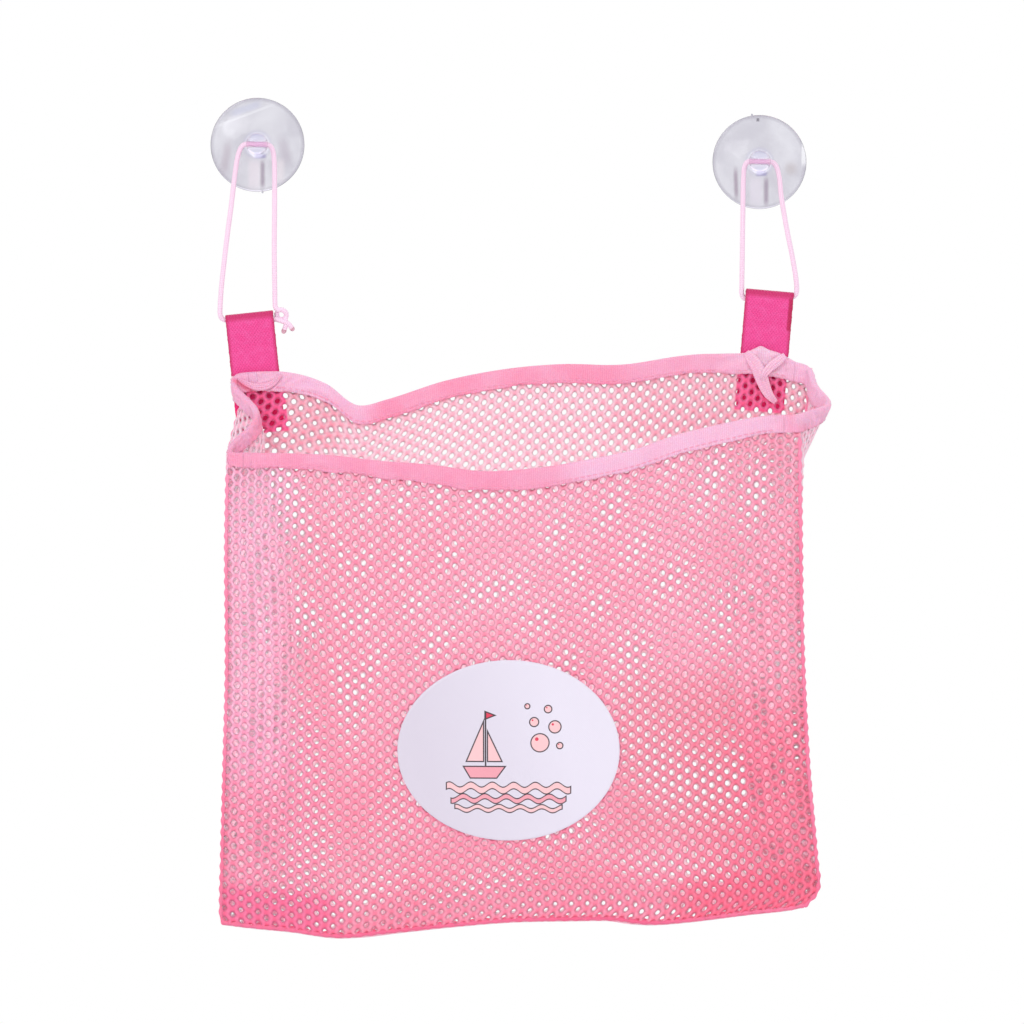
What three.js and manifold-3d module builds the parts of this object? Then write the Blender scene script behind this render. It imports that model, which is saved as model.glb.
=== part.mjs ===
// Net bath toy organizer: a boxed net bag with a taped mouth, hung by two sewn webbing tabs
// and two cord loops from two clear suction cups.
// Millimetres, +Z up. The wall is the plane y = 0, the front faces -Y, and the origin lies on
// the wall midway between the two cups.
import * as THREE from "three";
import { mergeVertices } from "three/addons/utils/BufferGeometryUtils.js";
import Module from "manifold-3d";

const wasm = await Module();
wasm.setup();

// Suction cups
const cupInset = 19.2; // from the bag's side in to a cup's centre
const cupStagger = 8.8; // how much higher the left cup sits than the right one
const cupRadius = 24;
const cupEdgeThickness = 0.9;
const sealInnerRadius = 20.4;
const sealCavityDepth = 2.4;
const domeHeight = 8.2;
const postRadius = 4.8;
const headRadius = 5.6;
const headWallDistance = 14.8; // from the wall to the underside of the head
const headHeight = 4.6;
const gateRadius = 1.1;
const gateLength = 1.3;
const leftGateTurn = -84; // degrees round the cup from +X
const rightGateTurn = 99;

// Cord
const cordDiameter = 2.3;
const cordClearance = 0.45; // round the cord in the post's hole
const cordWallDistance = 12; // from the wall to the hole's axis
const knotRadius = 2.6;
const knotCordDiameter = 1.9; // the knot is pulled tight, so the cord is thinner there

// Webbing tabs
const webbingWidth = 24.5;
const webbingThickness = 1.2;
const tabLength = 60;
const eyeRadius = 2.1; // inside the fold that holds the cord
const eyeLength = 16;
const tabWallDistance = 3.9; // from the wall to the middle of the two layers
const foldSeatGap = 0.3; // between the cord and the fold that rests on it
const leftFoldShift = -4; // along X from the cup's centre to the fold's middle
const rightFoldShift = 5.1;
const leftFoldDrop = 84.8; // from the origin down to the cord in the left fold
const rightFoldDrop = 74.2;
const leftTabTurn = 6; // degrees, turned anticlockwise seen from the front
const rightTabTurn = -5;

// Tab stitching
const stitchBoxWidth = 18;
const stitchBoxHeight = 13;
const stitchLineWidth = 0.9;
const stitchThickness = 0.4;
const stitchInset = 4; // from the tab's lower end to the stitched box

// Bag
const bagWidth = 295;
const bagOffset = 2.5; // the bag's middle along X
const rimDrop = 102.5; // from the origin down to the mouth's highest point
const bagHeight = 275;
const bottomSag = 22.5;
const backRimDip = 26;
const frontRimDip = 60;
const netThickness = 1.2;
const panelWallDistance = 7.1;
const backBow = 4;
const baseDepth = 27;
const mouthSideDepth = 34;
const bellyBulge = 5;
const mouthBulge = 14;
const leftSway = 3;
const rightSway = 9.5;
const foldDepth = 33; // how far each side gusset folds inward
const rightMouthFlare = 12; // how far the right gusset's top stands outward
const seamGap = 0.3; // between sewn pieces

// Net openings: a plain coarse grid that stands for the fine mesh
const openingsAcross = 10;
const openingsUp = 8;
const openShare = 0.6; // of the openings' pitch, both ways

// Mouth binding
const bindingWidth = 9.5;
const tapeThickness = 0.8;
const bindingStitchInset = 2; // from the tape's lower edge to its stitch line

// Label
const labelHalfWidth = 56.5;
const labelHalfHeight = 46;
const labelDrop = 304.5; // from the origin down to the label's middle
const labelThickness = 0.6;

// Outline shares: first the share of the way across or up, then the share of the named size
const backRimShares = [
  [0, 0.4], [0.04, 0.35], [0.105, 0.37], [0.165, 0.59], [0.216, 1], [0.267, 0.9], [0.368, 0.53],
  [0.47, 0.3], [0.57, 0.2], [0.672, 0.21], [0.773, 0.04], [0.824, 0], [0.925, 0.05], [1, 0.24],
];
const frontRimShares = [
  [0, 0.84], [0.17, 0.86], [0.265, 0.91], [0.356, 0.945], [0.449, 1], [0.552, 0.965], [0.63, 0.9],
  [0.707, 0.82], [0.785, 0.69], [0.861, 0.6], [0.938, 0.53], [1, 0.52],
];
const bottomShares = [
  [0, 0.7], [0.05, 0.78], [0.114, 0.86], [0.2, 1], [0.29, 0.89], [0.392, 0.75], [0.494, 0.64],
  [0.6, 0.61], [0.67, 0.61], [0.73, 0.7], [0.8, 0.64], [0.9, 0.48], [0.97, 0.35], [1, 0.15],
];
const leftFrontEdgeShares = [[0, 0.9], [0.15, 0.7], [0.3, 0.4], [0.55, -0.1], [0.8, 0], [1, -0.3]];
const leftBackEdgeShares = [
  [0, 0.9], [0.15, 0.7], [0.3, 0.4], [0.55, -0.1], [0.8, 0], [0.94, -1.3], [1, -0.8],
];
const rightFrontEdgeShares = [[0, 0.95], [0.1, 0.8], [0.3, 0.35], [0.55, 0.05], [0.8, -0.05], [1, -0.1]];
const rightBackEdgeShares = [[0, 0.95], [0.1, 0.8], [0.3, 0.35], [0.55, 0.05], [0.8, 0.05], [1, 0.6]];
const leftFoldShares = [[0, 0.35], [0.1, 0.85], [0.3, 1], [0.65, 1], [0.8, 0.75], [0.93, 0.5], [1, 0.43]];
const rightFoldShares = [[0, 0.35], [0.1, 0.85], [0.3, 1], [0.6, 1], [0.78, 0.55], [0.9, 0.1], [1, 0]];
const rightFlareShares = [[0, 0], [0.7, 0], [0.84, 0.3], [0.92, 0.65], [1, 1]];
const rightRimShares = [[0, 0], [0.5, 0.66], [1, 1]];
const plainRimShares = [[0, 0], [1, 1]];
const domeShares = [[0.86, 0.03], [0.7, 0.12], [0.52, 0.27], [0.36, 0.48], [0.24, 0.72], [0.2, 0.9]];
const headShares = [[0.97, 0.08], [1, 0.3], [0.95, 0.58], [0.78, 0.82], [0.45, 0.97]];

// Cord routes, chosen by hand: X from the cup's centre, and Z; the depth follows from the two pivots
const leftRoute = [
  [12.6, -84.1], [9.3, -84.2], [2.3, -84.5], [-5.7, -84.9], [-12.7, -85.2], [-16.7, -85.35],
  [-18.7, -84.7], [-19.7, -82.4], [-19.6, -78], [-18.5, -68], [-17.1, -57], [-15.3, -42],
  [-13.3, -27], [-11.2, -10], [-9.9, -2], [-8.6, 2], [-6.6, 4.3], [-4.3, 4.55],
  [0, 4.4], [4.3, 4.25], [6.4, 3.8], [7.9, 1.6], [8.7, -4], [8.9, -20],
  [8.7, -50], [8.9, -70], [9.6, -78], [11.8, -82],
];
const rightRoute = [
  [5.7, -74.2], [10.7, -74], [15.2, -73.8], [17.7, -73.6], [19.3, -72.6], [19.9, -70], [19.1, -65],
  [17.1, -55], [13.7, -38], [11, -22], [9.9, -12], [8.3, -6.6], [6.5, -4.75], [4.3, -4.55],
  [0, -4.4], [-4.3, -4.25], [-6.4, -4.7], [-7.7, -7], [-8.3, -13], [-8.6, -30], [-8.9, -55],
  [-9.9, -68], [-10, -72], [-8.9, -74.3], [-6.3, -74.7], [-1.3, -74.5], [4.7, -74.25],
];
const leftTail = [[16, -86.9], [16.5, -89.5], [15.9, -92.5]];
const knotPlace = [14.7, -84.6];

// Detail counts
const cupSides = 30;
const cordSides = 8;
const cordSteps = 64;
const tailSteps = 4;
const knotSteps = 36;
const knotSides = 6;
const gussetColumns = 12;
const baseColumns = 32;
const baseRows = 6;
const labelCells = 12;
const arcSteps = 10;
const nudgeShare = 0.002; // of a surface, for its slopes

// Colours
const clearVinyl = { color: 0xdcdae4, roughness: 0.12, metalness: 0, transparent: true, opacity: 0.5 };
const palePinkCord = { color: 0xf8dcec, roughness: 0.6, metalness: 0 };
const fuchsiaWebbing = { color: 0xf0529c, roughness: 0.75, metalness: 0 };
const pinkNet = { color: 0xf7a8bd, roughness: 0.7, metalness: 0 };
const pinkTape = { color: 0xfaa5c5, roughness: 0.65, metalness: 0 };
const pinkThread = { color: 0xffc4da, roughness: 0.6, metalness: 0 };
const whiteSatin = { color: 0xe9e4f2, roughness: 0.45, metalness: 0 };

// Smooth curve through a table of shares
function along(table, t) {
  const last = table.length - 1;
  let i = 0;
  while (i < last - 1 && t > table[i + 1][0]) i += 1;
  const slope = (k) => {
    const low = Math.max(k - 1, 0);
    const high = Math.min(k + 1, last);
    return (table[high][1] - table[low][1]) / (table[high][0] - table[low][0]);
  };
  const span = table[i + 1][0] - table[i][0];
  const s = (t - table[i][0]) / span;
  const [a, b] = [table[i][1], table[i + 1][1]];
  const [ma, mb] = [slope(i) * span, slope(i + 1) * span];
  const blend = s * s * (3 - 2 * s);
  return a + (b - a) * blend + s * (1 - s) * (ma * (1 - s) - mb * s);
}

const mix = (a, b, t) => a + (b - a) * t;
const inRadians = THREE.MathUtils.degToRad;

// Bag surfaces: u runs from the left edge to the right, v from the bottom to the mouth
const bagLeft = bagOffset - bagWidth / 2;
const bagRight = bagOffset + bagWidth / 2;
const leftEdge = (v, isBack) =>
  bagLeft - leftSway * along(isBack ? leftBackEdgeShares : leftFrontEdgeShares, v);
const rightEdge = (v, isBack) =>
  bagRight + rightSway * along(isBack ? rightBackEdgeShares : rightFrontEdgeShares, v);
const panelTopInset = tapeThickness + seamGap;
const backRimZ = (u) => -rimDrop - panelTopInset - backRimDip * along(backRimShares, u);
const frontRimZ = (u) => -rimDrop - panelTopInset - frontRimDip * along(frontRimShares, u);
const bottomZ = (u) => -rimDrop - bagHeight - bottomSag * along(bottomShares, u);
const backY = (u, v) => -(panelWallDistance + backBow * Math.sin(Math.PI * u) * v);
const bulge = (u, v) => Math.sin(Math.PI * u) * mix(bellyBulge, mouthBulge, v * v);
const frontY = (u, v) => -(panelWallDistance + mix(baseDepth, mouthSideDepth, v) + bulge(u, v));

function backPoint(u, v) {
  const x = mix(leftEdge(v, true), rightEdge(v, true), u);
  return new THREE.Vector3(x, backY(u, v), mix(bottomZ(u), backRimZ(u), v));
}

function frontPoint(u, v) {
  const x = mix(leftEdge(v, false), rightEdge(v, false), u);
  return new THREE.Vector3(x, frontY(u, v), mix(bottomZ(u), frontRimZ(u), v));
}

// A gusset runs from the back panel's edge (s = 0) to the front panel's edge (s = 1)
const leftFold = (v) => foldDepth * along(leftFoldShares, v);
const rightFold = (v) =>
  rightMouthFlare * along(rightFlareShares, v) - foldDepth * along(rightFoldShares, v);

function gussetPoint(isRight, s, v) {
  const u = isRight ? 1 : 0;
  const back = backPoint(u, v);
  const front = frontPoint(u, v);
  const fold = isRight ? rightFold(v) : leftFold(v);
  const rise = along(isRight ? rightRimShares : plainRimShares, s);
  const x = mix(back.x, front.x, s) + fold * Math.sin(Math.PI * s) ** 2;
  return new THREE.Vector3(x, mix(back.y, front.y, s), mix(back.z, front.z, rise));
}

function basePoint(u, s) {
  const left = gussetPoint(false, s, 0);
  const right = gussetPoint(true, s, 0);
  return new THREE.Vector3(mix(left.x, right.x, u), mix(backY(u, 0), frontY(u, 0), s), bottomZ(u));
}

// Unit normal of a surface, the cross product of its slopes along a and b
function normalOf(surface, a, b) {
  const alongA = surface(a + nudgeShare, b).sub(surface(a - nudgeShare, b));
  const alongB = surface(a, b + nudgeShare).sub(surface(a, b - nudgeShare));
  return alongA.cross(alongB).normalize();
}

// Closed mesh from points and triangles, its triangles facing out
function solidOf(points, triangles) {
  const geometry = new THREE.BufferGeometry();
  geometry.setAttribute("position", new THREE.Float32BufferAttribute(points.flatMap((p) => p.toArray()), 3));
  geometry.setIndex(triangles);
  return geometry;
}

const evenly = (count) => Array.from({ length: count + 1 }, (_, k) => k / count);

// Sheet of a given thickness along a surface, on lines at shares across and up; isOpen names the
// cells between them that are left out
function sheet(surface, across, up, thickness, isOpen = () => false) {
  const points = [];
  const triangles = [];
  for (const side of [1, -1]) {
    for (const b of up) {
      for (const a of across) {
        const offset = normalOf(surface, a, b).multiplyScalar((side * thickness) / 2);
        points.push(surface(a, b).add(offset));
      }
    }
  }
  const [columns, rows] = [across.length - 1, up.length - 1];
  const layer = across.length * up.length;
  const at = (i, j) => j * across.length + i;
  const isClosed = (i, j) => i >= 0 && j >= 0 && i < columns && j < rows && !isOpen(i, j);
  const wall = (p, q) => triangles.push(p, p + layer, q + layer, p, q + layer, q);
  for (let j = 0; j < rows; j += 1) {
    for (let i = 0; i < columns; i += 1) {
      if (isClosed(i, j)) {
        const [p, q, r, s] = [at(i, j), at(i + 1, j), at(i + 1, j + 1), at(i, j + 1)];
        triangles.push(p, q, r, p, r, s);
        triangles.push(p + layer, r + layer, q + layer, p + layer, s + layer, r + layer);
        if (!isClosed(i, j - 1)) wall(p, q);
        if (!isClosed(i + 1, j)) wall(q, r);
        if (!isClosed(i, j + 1)) wall(r, s);
        if (!isClosed(i - 1, j)) wall(s, p);
      }
    }
  }
  return solidOf(points, triangles);
}

// Sweep of an anticlockwise outline through frames: a place and the directions of the outline's
// two axes, whose cross product points back along the sweep
function sweep(outline, frames) {
  const count = outline.length;
  const steps = frames.length - 1;
  const points = [];
  for (const { place, across, up } of frames) {
    for (const p of outline) points.push(place.clone().addScaledVector(across, p.x).addScaledVector(up, p.y));
  }
  const triangles = [];
  for (let j = 0; j < steps; j += 1) {
    for (let i = 0; i < count; i += 1) {
      const [p, q] = [j * count + i, j * count + ((i + 1) % count)];
      triangles.push(q + count, q, p, p + count, q + count, p);
    }
  }
  const last = steps * count;
  for (const [a, b, c] of THREE.ShapeUtils.triangulateShape(outline, [])) {
    triangles.push(a, b, c, last + c, last + b, last + a);
  }
  return solidOf(points, triangles);
}

// Manifold solid of a closed mesh, and back
function toManifold(geometry) {
  const bare = geometry.clone();
  bare.deleteAttribute("normal");
  bare.deleteAttribute("uv");
  const merged = mergeVertices(bare);
  const vertProperties = new Float32Array(merged.attributes.position.array);
  const triVerts = new Uint32Array(merged.index.array);
  return new wasm.Manifold(new wasm.Mesh({ numProp: 3, vertProperties, triVerts }));
}

function toGeometry(manifold) {
  const mesh = manifold.getMesh();
  const geometry = new THREE.BufferGeometry();
  geometry.setAttribute("position", new THREE.BufferAttribute(mesh.vertProperties, 3));
  geometry.setIndex(new THREE.BufferAttribute(mesh.triVerts, 1));
  return geometry;
}

// Pivot lines: the cords turn in the cups' holes, and the tabs turn on the cords
const cupSpacing = bagWidth - 2 * cupInset;
const cupCentre = (isRight) =>
  new THREE.Vector3((isRight ? cupSpacing : -cupSpacing) / 2, 0, (isRight ? -cupStagger : cupStagger) / 2);
const leftFoldPivot = new THREE.Vector3(leftFoldShift - cupSpacing / 2, -tabWallDistance, -leftFoldDrop);
const rightFoldPivot = new THREE.Vector3(rightFoldShift + cupSpacing / 2, -tabWallDistance, -rightFoldDrop);
const holeLine = cupCentre(true).sub(cupCentre(false)).normalize();
const foldLine = rightFoldPivot.clone().sub(leftFoldPivot).normalize();

// Suction cup: one clear moulding, turned about the wall's normal, with a cross hole in its post
function cupProfile() {
  const profile = [new THREE.Vector2(0, -sealCavityDepth)];
  const cavityRings = 4;
  for (let k = 1; k <= cavityRings; k += 1) {
    const share = k / cavityRings;
    profile.push(new THREE.Vector2(sealInnerRadius * share, -sealCavityDepth * (1 - share * share)));
  }
  profile.push(new THREE.Vector2(cupRadius, 0), new THREE.Vector2(cupRadius, -cupEdgeThickness));
  for (const [out, rise] of domeShares) {
    profile.push(new THREE.Vector2(cupRadius * out, -mix(cupEdgeThickness, domeHeight, rise)));
  }
  profile.push(new THREE.Vector2(postRadius, -(domeHeight + headWallDistance) / 2));
  profile.push(new THREE.Vector2(postRadius, -headWallDistance));
  for (const [out, rise] of headShares) {
    profile.push(new THREE.Vector2(headRadius * out, -headWallDistance - headHeight * rise));
  }
  profile.push(new THREE.Vector2(0, -headWallDistance - headHeight));
  return profile.reverse();
}

function suctionCup(gateTurn) {
  const body = toManifold(new THREE.LatheGeometry(cupProfile(), cupSides));
  const holeRadius = cordDiameter / 2 + cordClearance;
  const hole = new THREE.CylinderGeometry(holeRadius, holeRadius, 4 * headRadius, cupSides / 2);
  hole.applyQuaternion(new THREE.Quaternion().setFromUnitVectors(new THREE.Vector3(0, 1, 0), holeLine));
  hole.translate(0, -cordWallDistance, 0);
  const gate = new THREE.CylinderGeometry(gateRadius, gateRadius, cupEdgeThickness, arcSteps);
  const reach = cupRadius + gateLength - gateRadius;
  const turn = inRadians(gateTurn);
  gate.translate(reach * Math.cos(turn), -cupEdgeThickness / 2, reach * Math.sin(turn));
  return toGeometry(body.subtract(toManifold(hole)).add(toManifold(gate)));
}

// Cord loop: it leans back from the hole's axis to the fold's axis
function routePoint(isRight, [shift, z]) {
  const top = cupCentre(isRight).setY(-cordWallDistance);
  const low = isRight ? rightFoldPivot : leftFoldPivot;
  const x = top.x + shift;
  const topZ = top.z + (x - top.x) * (holeLine.z / holeLine.x);
  const lowZ = low.z + (x - low.x) * (foldLine.z / foldLine.x);
  return new THREE.Vector3(x, mix(low.y, top.y, (z - lowZ) / (topZ - lowZ)), z);
}

function cordTube(isRight, route, steps) {
  const points = route.map((place) => routePoint(isRight, place));
  const curve = new THREE.CatmullRomCurve3(points, false, "centripetal");
  const section = new THREE.Shape();
  for (let k = 0; k < cordSides; k += 1) {
    const turn = (2 * Math.PI * k) / cordSides;
    const [x, y] = [(cordDiameter / 2) * Math.cos(turn), (cordDiameter / 2) * Math.sin(turn)];
    if (k === 0) section.moveTo(x, y);
    else section.lineTo(x, y);
  }
  return new THREE.ExtrudeGeometry(section, { steps, extrudePath: curve, curveSegments: 1 });
}

function tiedLoop() {
  const loop = toManifold(cordTube(false, leftRoute, cordSteps));
  const tail = toManifold(cordTube(false, leftTail, tailSteps));
  const knot = new THREE.TorusKnotGeometry(knotRadius, knotCordDiameter / 2, knotSteps, knotSides);
  const place = routePoint(false, knotPlace);
  knot.rotateX(Math.PI / 2).translate(place.x, place.y, place.z);
  return toGeometry(loop.add(toManifold(knot)).add(tail));
}

// Webbing tab: folded over the cord, its two layers sewn together below the eye
function tabGeometry() {
  const outer = eyeRadius + webbingThickness;
  const shape = new THREE.Shape();
  shape.moveTo(webbingThickness, -tabLength);
  shape.lineTo(webbingThickness, -eyeLength - outer);
  shape.lineTo(outer, -outer);
  shape.absarc(0, -outer, outer, 0, Math.PI, false);
  shape.lineTo(-webbingThickness, -eyeLength - outer);
  shape.lineTo(-webbingThickness, -tabLength);
  const eye = new THREE.Path();
  eye.moveTo(eyeRadius, -outer);
  eye.absarc(0, -outer, eyeRadius, 0, Math.PI, false);
  eye.lineTo(0, -eyeLength - outer);
  shape.holes.push(eye);
  const options = { depth: webbingWidth, bevelEnabled: false, curveSegments: arcSteps };
  const geometry = new THREE.ExtrudeGeometry(shape, options);
  const [yAxis, zAxis, xAxis] = [[0, 1, 0], [0, 0, 1], [1, 0, 0]].map((a) => new THREE.Vector3(...a));
  return geometry.applyMatrix4(new THREE.Matrix4().makeBasis(yAxis, zAxis, xAxis));
}

// Box of stitches on the tab's wall side
function tabStitching() {
  const [w, h] = [stitchBoxWidth / 2, stitchBoxHeight];
  const line = stitchLineWidth;
  const shape = new THREE.Shape();
  shape.moveTo(-w, 0).lineTo(w, 0).lineTo(w, h).lineTo(-w, h);
  const hole = new THREE.Path();
  hole.moveTo(line - w, line).lineTo(w - line, line).lineTo(w - line, h - line).lineTo(line - w, h - line);
  shape.holes.push(hole);
  const geometry = new THREE.ExtrudeGeometry(shape, { depth: stitchThickness, bevelEnabled: false });
  geometry.rotateX(Math.PI / 2);
  const wallSide = webbingThickness + seamGap + stitchThickness;
  return geometry.translate(webbingWidth / 2, wallSide, stitchInset - tabLength);
}

// The tab hangs from the cord at the end of its fold that its turn brings down
function tabGroup(isRight) {
  const turn = inRadians(isRight ? rightTabTurn : leftTabTurn);
  const pivot = isRight ? rightFoldPivot : leftFoldPivot;
  const rest = turn > Math.asin(foldLine.z) ? -webbingWidth / 2 : webbingWidth / 2;
  const seat = pivot.clone().addScaledVector(foldLine, rest);
  const lift = cordDiameter / 2 + foldSeatGap + webbingThickness;
  const corner = rest < 0 ? 0 : webbingWidth;
  const group = new THREE.Group();
  group.position.copy(seat).add(new THREE.Vector3(-Math.sin(turn), 0, Math.cos(turn)).multiplyScalar(lift));
  group.rotation.y = -turn;
  group.userData.shift = -corner;
  return group;
}

// Net panels
const edgeInset = netThickness / 2 + seamGap;
const depthOf = (v) => mix(baseDepth, mouthSideDepth, v);

// Lines of a grid of openings from 0 to 1, with a margin at its end; each opening takes some cells
function openingLines(count, cells, margin) {
  const pitch = (1 - margin) / count;
  const lines = [0];
  for (let k = 0; k < count; k += 1) {
    const start = (k + (1 - openShare) / 2) * pitch;
    for (let c = 0; c <= cells; c += 1) lines.push(start + (openShare * pitch * c) / cells);
  }
  return [...lines, 1];
}

// An opening of a panel is two cells across, so that its edges and the mouth's binding bend with the net
const panelLines = openingLines(openingsAcross, 2, 0);
const netRows = openingLines(openingsUp, 1, bindingWidth / (bagHeight - frontRimDip));
const isPanelOpening = (i, j) => i % 3 !== 0 && j % 2 === 1;

const netPanel = (surface) => sheet(surface, panelLines, netRows, netThickness, isPanelOpening);

// The net's place on a gusset's surface: the fold slants away from its seams, so it keeps off them
function gussetNet(isRight) {
  return (s, v) => {
    const inset = (netThickness + seamGap) / depthOf(v);
    return gussetPoint(isRight, mix(inset, 1 - inset, s), v);
  };
}

// One column of openings on each flank of the fold
const isGussetOpening = (i, j) => [2, 3, 8, 9].includes(i) && j % 2 === 1;

function gussetPanel(isRight) {
  const low = (netThickness + seamGap) / bagHeight;
  const rows = netRows.map((share) => mix(low, 1, share));
  return sheet(gussetNet(isRight), evenly(gussetColumns), rows, netThickness, isGussetOpening);
}

function basePanel() {
  const inset = edgeInset / baseDepth;
  const surface = (u, s) => basePoint(u, mix(inset, 1 - inset, s));
  return sheet(surface, evenly(baseColumns), evenly(baseRows), netThickness);
}

// Tape folded over the net's edge: the slot takes the net with a seam gap on each side
function bindingOutline() {
  const slot = netThickness / 2 + seamGap;
  const face = slot + tapeThickness;
  const top = panelTopInset;
  const points = [
    [-face, top], [-face, -bindingWidth], [-slot, -bindingWidth], [-slot, seamGap],
    [slot, seamGap], [slot, -bindingWidth], [face, -bindingWidth], [face, top],
  ];
  return points.map(([x, y]) => new THREE.Vector2(x, y));
}

// Frame on a surface's edge where b = 1: across the sheet, and up along its top row
function rimFrame(surface, a, drop = 0) {
  const top = surface(a, 1);
  const up = top.clone().sub(surface(a, netRows.at(-2))).normalize();
  const sideways = surface(a + nudgeShare, 1).sub(surface(a - nudgeShare, 1));
  return { place: top.addScaledVector(up, -drop), across: sideways.cross(up).normalize(), up };
}

const bindingFace = netThickness / 2 + seamGap + tapeThickness;

// The lines across, stopped short of both ends
const within = (lines, inset) => [inset, ...lines.filter((t) => t > inset && t < 1 - inset), 1 - inset];

function panelBinding(surface) {
  const inset = (bindingFace + 2 * seamGap) / bagWidth;
  return sweep(bindingOutline(), within(panelLines, inset).map((t) => rimFrame(surface, t)));
}

function gussetBinding(isRight) {
  const inset = (bindingFace - netThickness) / mouthSideDepth;
  const lines = within(evenly(gussetColumns), inset);
  return sweep(bindingOutline(), lines.map((t) => rimFrame(gussetNet(isRight), t)));
}

// Stitch line on the front face of a panel's binding
function bindingStitching(surface) {
  const low = bindingFace + seamGap;
  const high = low + stitchThickness;
  const half = stitchLineWidth / 2;
  const corners = [[low, -half], [high, -half], [high, half], [low, half]];
  const outline = corners.map(([x, y]) => new THREE.Vector2(x, y));
  const drop = bindingWidth - bindingStitchInset;
  const inset = bindingWidth / bagWidth;
  return sweep(outline, within(panelLines, inset).map((t) => rimFrame(surface, t, drop)));
}

// Shares of the front panel at a place seen from the front
function frontShares(x, z) {
  let [u, v] = [0.5, 0.5];
  for (let k = 0; k < arcSteps; k += 1) {
    u = (x - leftEdge(v, false)) / (rightEdge(v, false) - leftEdge(v, false));
    v = (z - bottomZ(u)) / (frontRimZ(u) - bottomZ(u));
  }
  return [u, v];
}

// Oval label lying on the front panel
function labelPoint(x, z, lift) {
  const [u, v] = frontShares(x, z - labelDrop);
  const point = frontPoint(u, v);
  return point.addScaledVector(normalOf(frontPoint, u, v), lift);
}

function labelPatch() {
  const lift = (netThickness + labelThickness) / 2 + seamGap;
  const surface = (a, b) => {
    const [p, q] = [2 * a - 1, 2 * b - 1];
    const x = labelHalfWidth * p * Math.sqrt(1 - (q * q) / 2);
    const z = labelHalfHeight * q * Math.sqrt(1 - (p * p) / 2);
    return labelPoint(x, z, lift);
  };
  return sheet(surface, evenly(labelCells), evenly(labelCells), labelThickness);
}

// Assembly
function piece(name, geometry, material) {
  const mesh = new THREE.Mesh(geometry, new THREE.MeshStandardMaterial(material));
  mesh.name = name;
  return mesh;
}

const organizer = new THREE.Group();

const cups = new THREE.Group();
const leftCup = piece("suction_cup_left", suctionCup(leftGateTurn), clearVinyl);
const rightCup = piece("suction_cup_right", suctionCup(rightGateTurn), clearVinyl);
leftCup.position.copy(cupCentre(false));
rightCup.position.copy(cupCentre(true));
cups.add(leftCup, rightCup);

const cords = new THREE.Group();
cords.add(piece("cord_loop_left", tiedLoop(), palePinkCord));
cords.add(piece("cord_loop_right", cordTube(true, rightRoute, cordSteps), palePinkCord));

const tabs = [false, true].map((isRight) => {
  const side = isRight ? "right" : "left";
  const group = tabGroup(isRight);
  const tab = piece("webbing_tab_" + side, tabGeometry(), fuchsiaWebbing);
  const stitches = piece("tab_stitching_" + side, tabStitching(), pinkThread);
  tab.position.x = group.userData.shift;
  stitches.position.x = group.userData.shift;
  group.add(tab, stitches);
  return group;
});

const bag = new THREE.Group();
bag.add(piece("back_panel", netPanel(backPoint), pinkNet));
bag.add(piece("gusset_left", gussetPanel(false), pinkNet));
bag.add(piece("gusset_right", gussetPanel(true), pinkNet));
bag.add(piece("base_panel", basePanel(), pinkNet));
bag.add(piece("back_binding", panelBinding(backPoint), pinkTape));
bag.add(piece("side_binding_left", gussetBinding(false), pinkTape));
bag.add(piece("side_binding_right", gussetBinding(true), pinkTape));
bag.add(piece("back_binding_stitching", bindingStitching(backPoint), pinkThread));
bag.add(...tabs);

const bagFront = new THREE.Group();
bagFront.add(piece("front_panel", netPanel(frontPoint), pinkNet));
bagFront.add(piece("front_binding", panelBinding(frontPoint), pinkTape));
bagFront.add(piece("front_binding_stitching", bindingStitching(frontPoint), pinkThread));
bagFront.add(piece("label_patch", labelPatch(), whiteSatin));

organizer.add(cups, cords, bag, bagFront);

export default organizer;
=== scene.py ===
"""Looks of the net bath toy organizer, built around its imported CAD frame.

The making functions work in millimetres, and a mesh gets metres. The wall is the plane y = 0,
the front faces -Y and +Z is up, as in the frame.
"""

import math

import bpy
import numpy as np
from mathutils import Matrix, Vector


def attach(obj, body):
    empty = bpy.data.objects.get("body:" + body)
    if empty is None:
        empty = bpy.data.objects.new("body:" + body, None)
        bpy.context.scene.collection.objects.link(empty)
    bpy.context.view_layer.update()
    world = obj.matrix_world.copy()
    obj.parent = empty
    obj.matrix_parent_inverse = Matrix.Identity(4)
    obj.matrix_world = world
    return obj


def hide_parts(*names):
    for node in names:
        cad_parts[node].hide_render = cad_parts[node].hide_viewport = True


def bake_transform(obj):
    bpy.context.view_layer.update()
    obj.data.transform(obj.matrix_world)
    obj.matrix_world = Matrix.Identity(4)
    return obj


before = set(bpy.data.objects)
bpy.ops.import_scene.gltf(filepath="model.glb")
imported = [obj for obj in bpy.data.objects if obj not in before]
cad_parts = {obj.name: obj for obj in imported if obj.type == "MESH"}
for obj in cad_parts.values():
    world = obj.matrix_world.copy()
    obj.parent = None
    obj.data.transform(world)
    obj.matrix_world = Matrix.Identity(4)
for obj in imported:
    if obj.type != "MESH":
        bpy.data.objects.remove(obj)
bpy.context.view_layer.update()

MM = 0.001
TURN = 2 * math.pi
SHARE_STEP = 0.002  # for the slopes of the bag's surfaces

# Camera: the photograph's frame on a plane in front of the wall
PICTURE_MIDDLE = (1.8, -183.3)
PICTURE_WIDTH = 522.2
PICTURE_PLANE = -20
CAMERA_DISTANCE = 8000
SENSOR_WIDTH = 36

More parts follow.
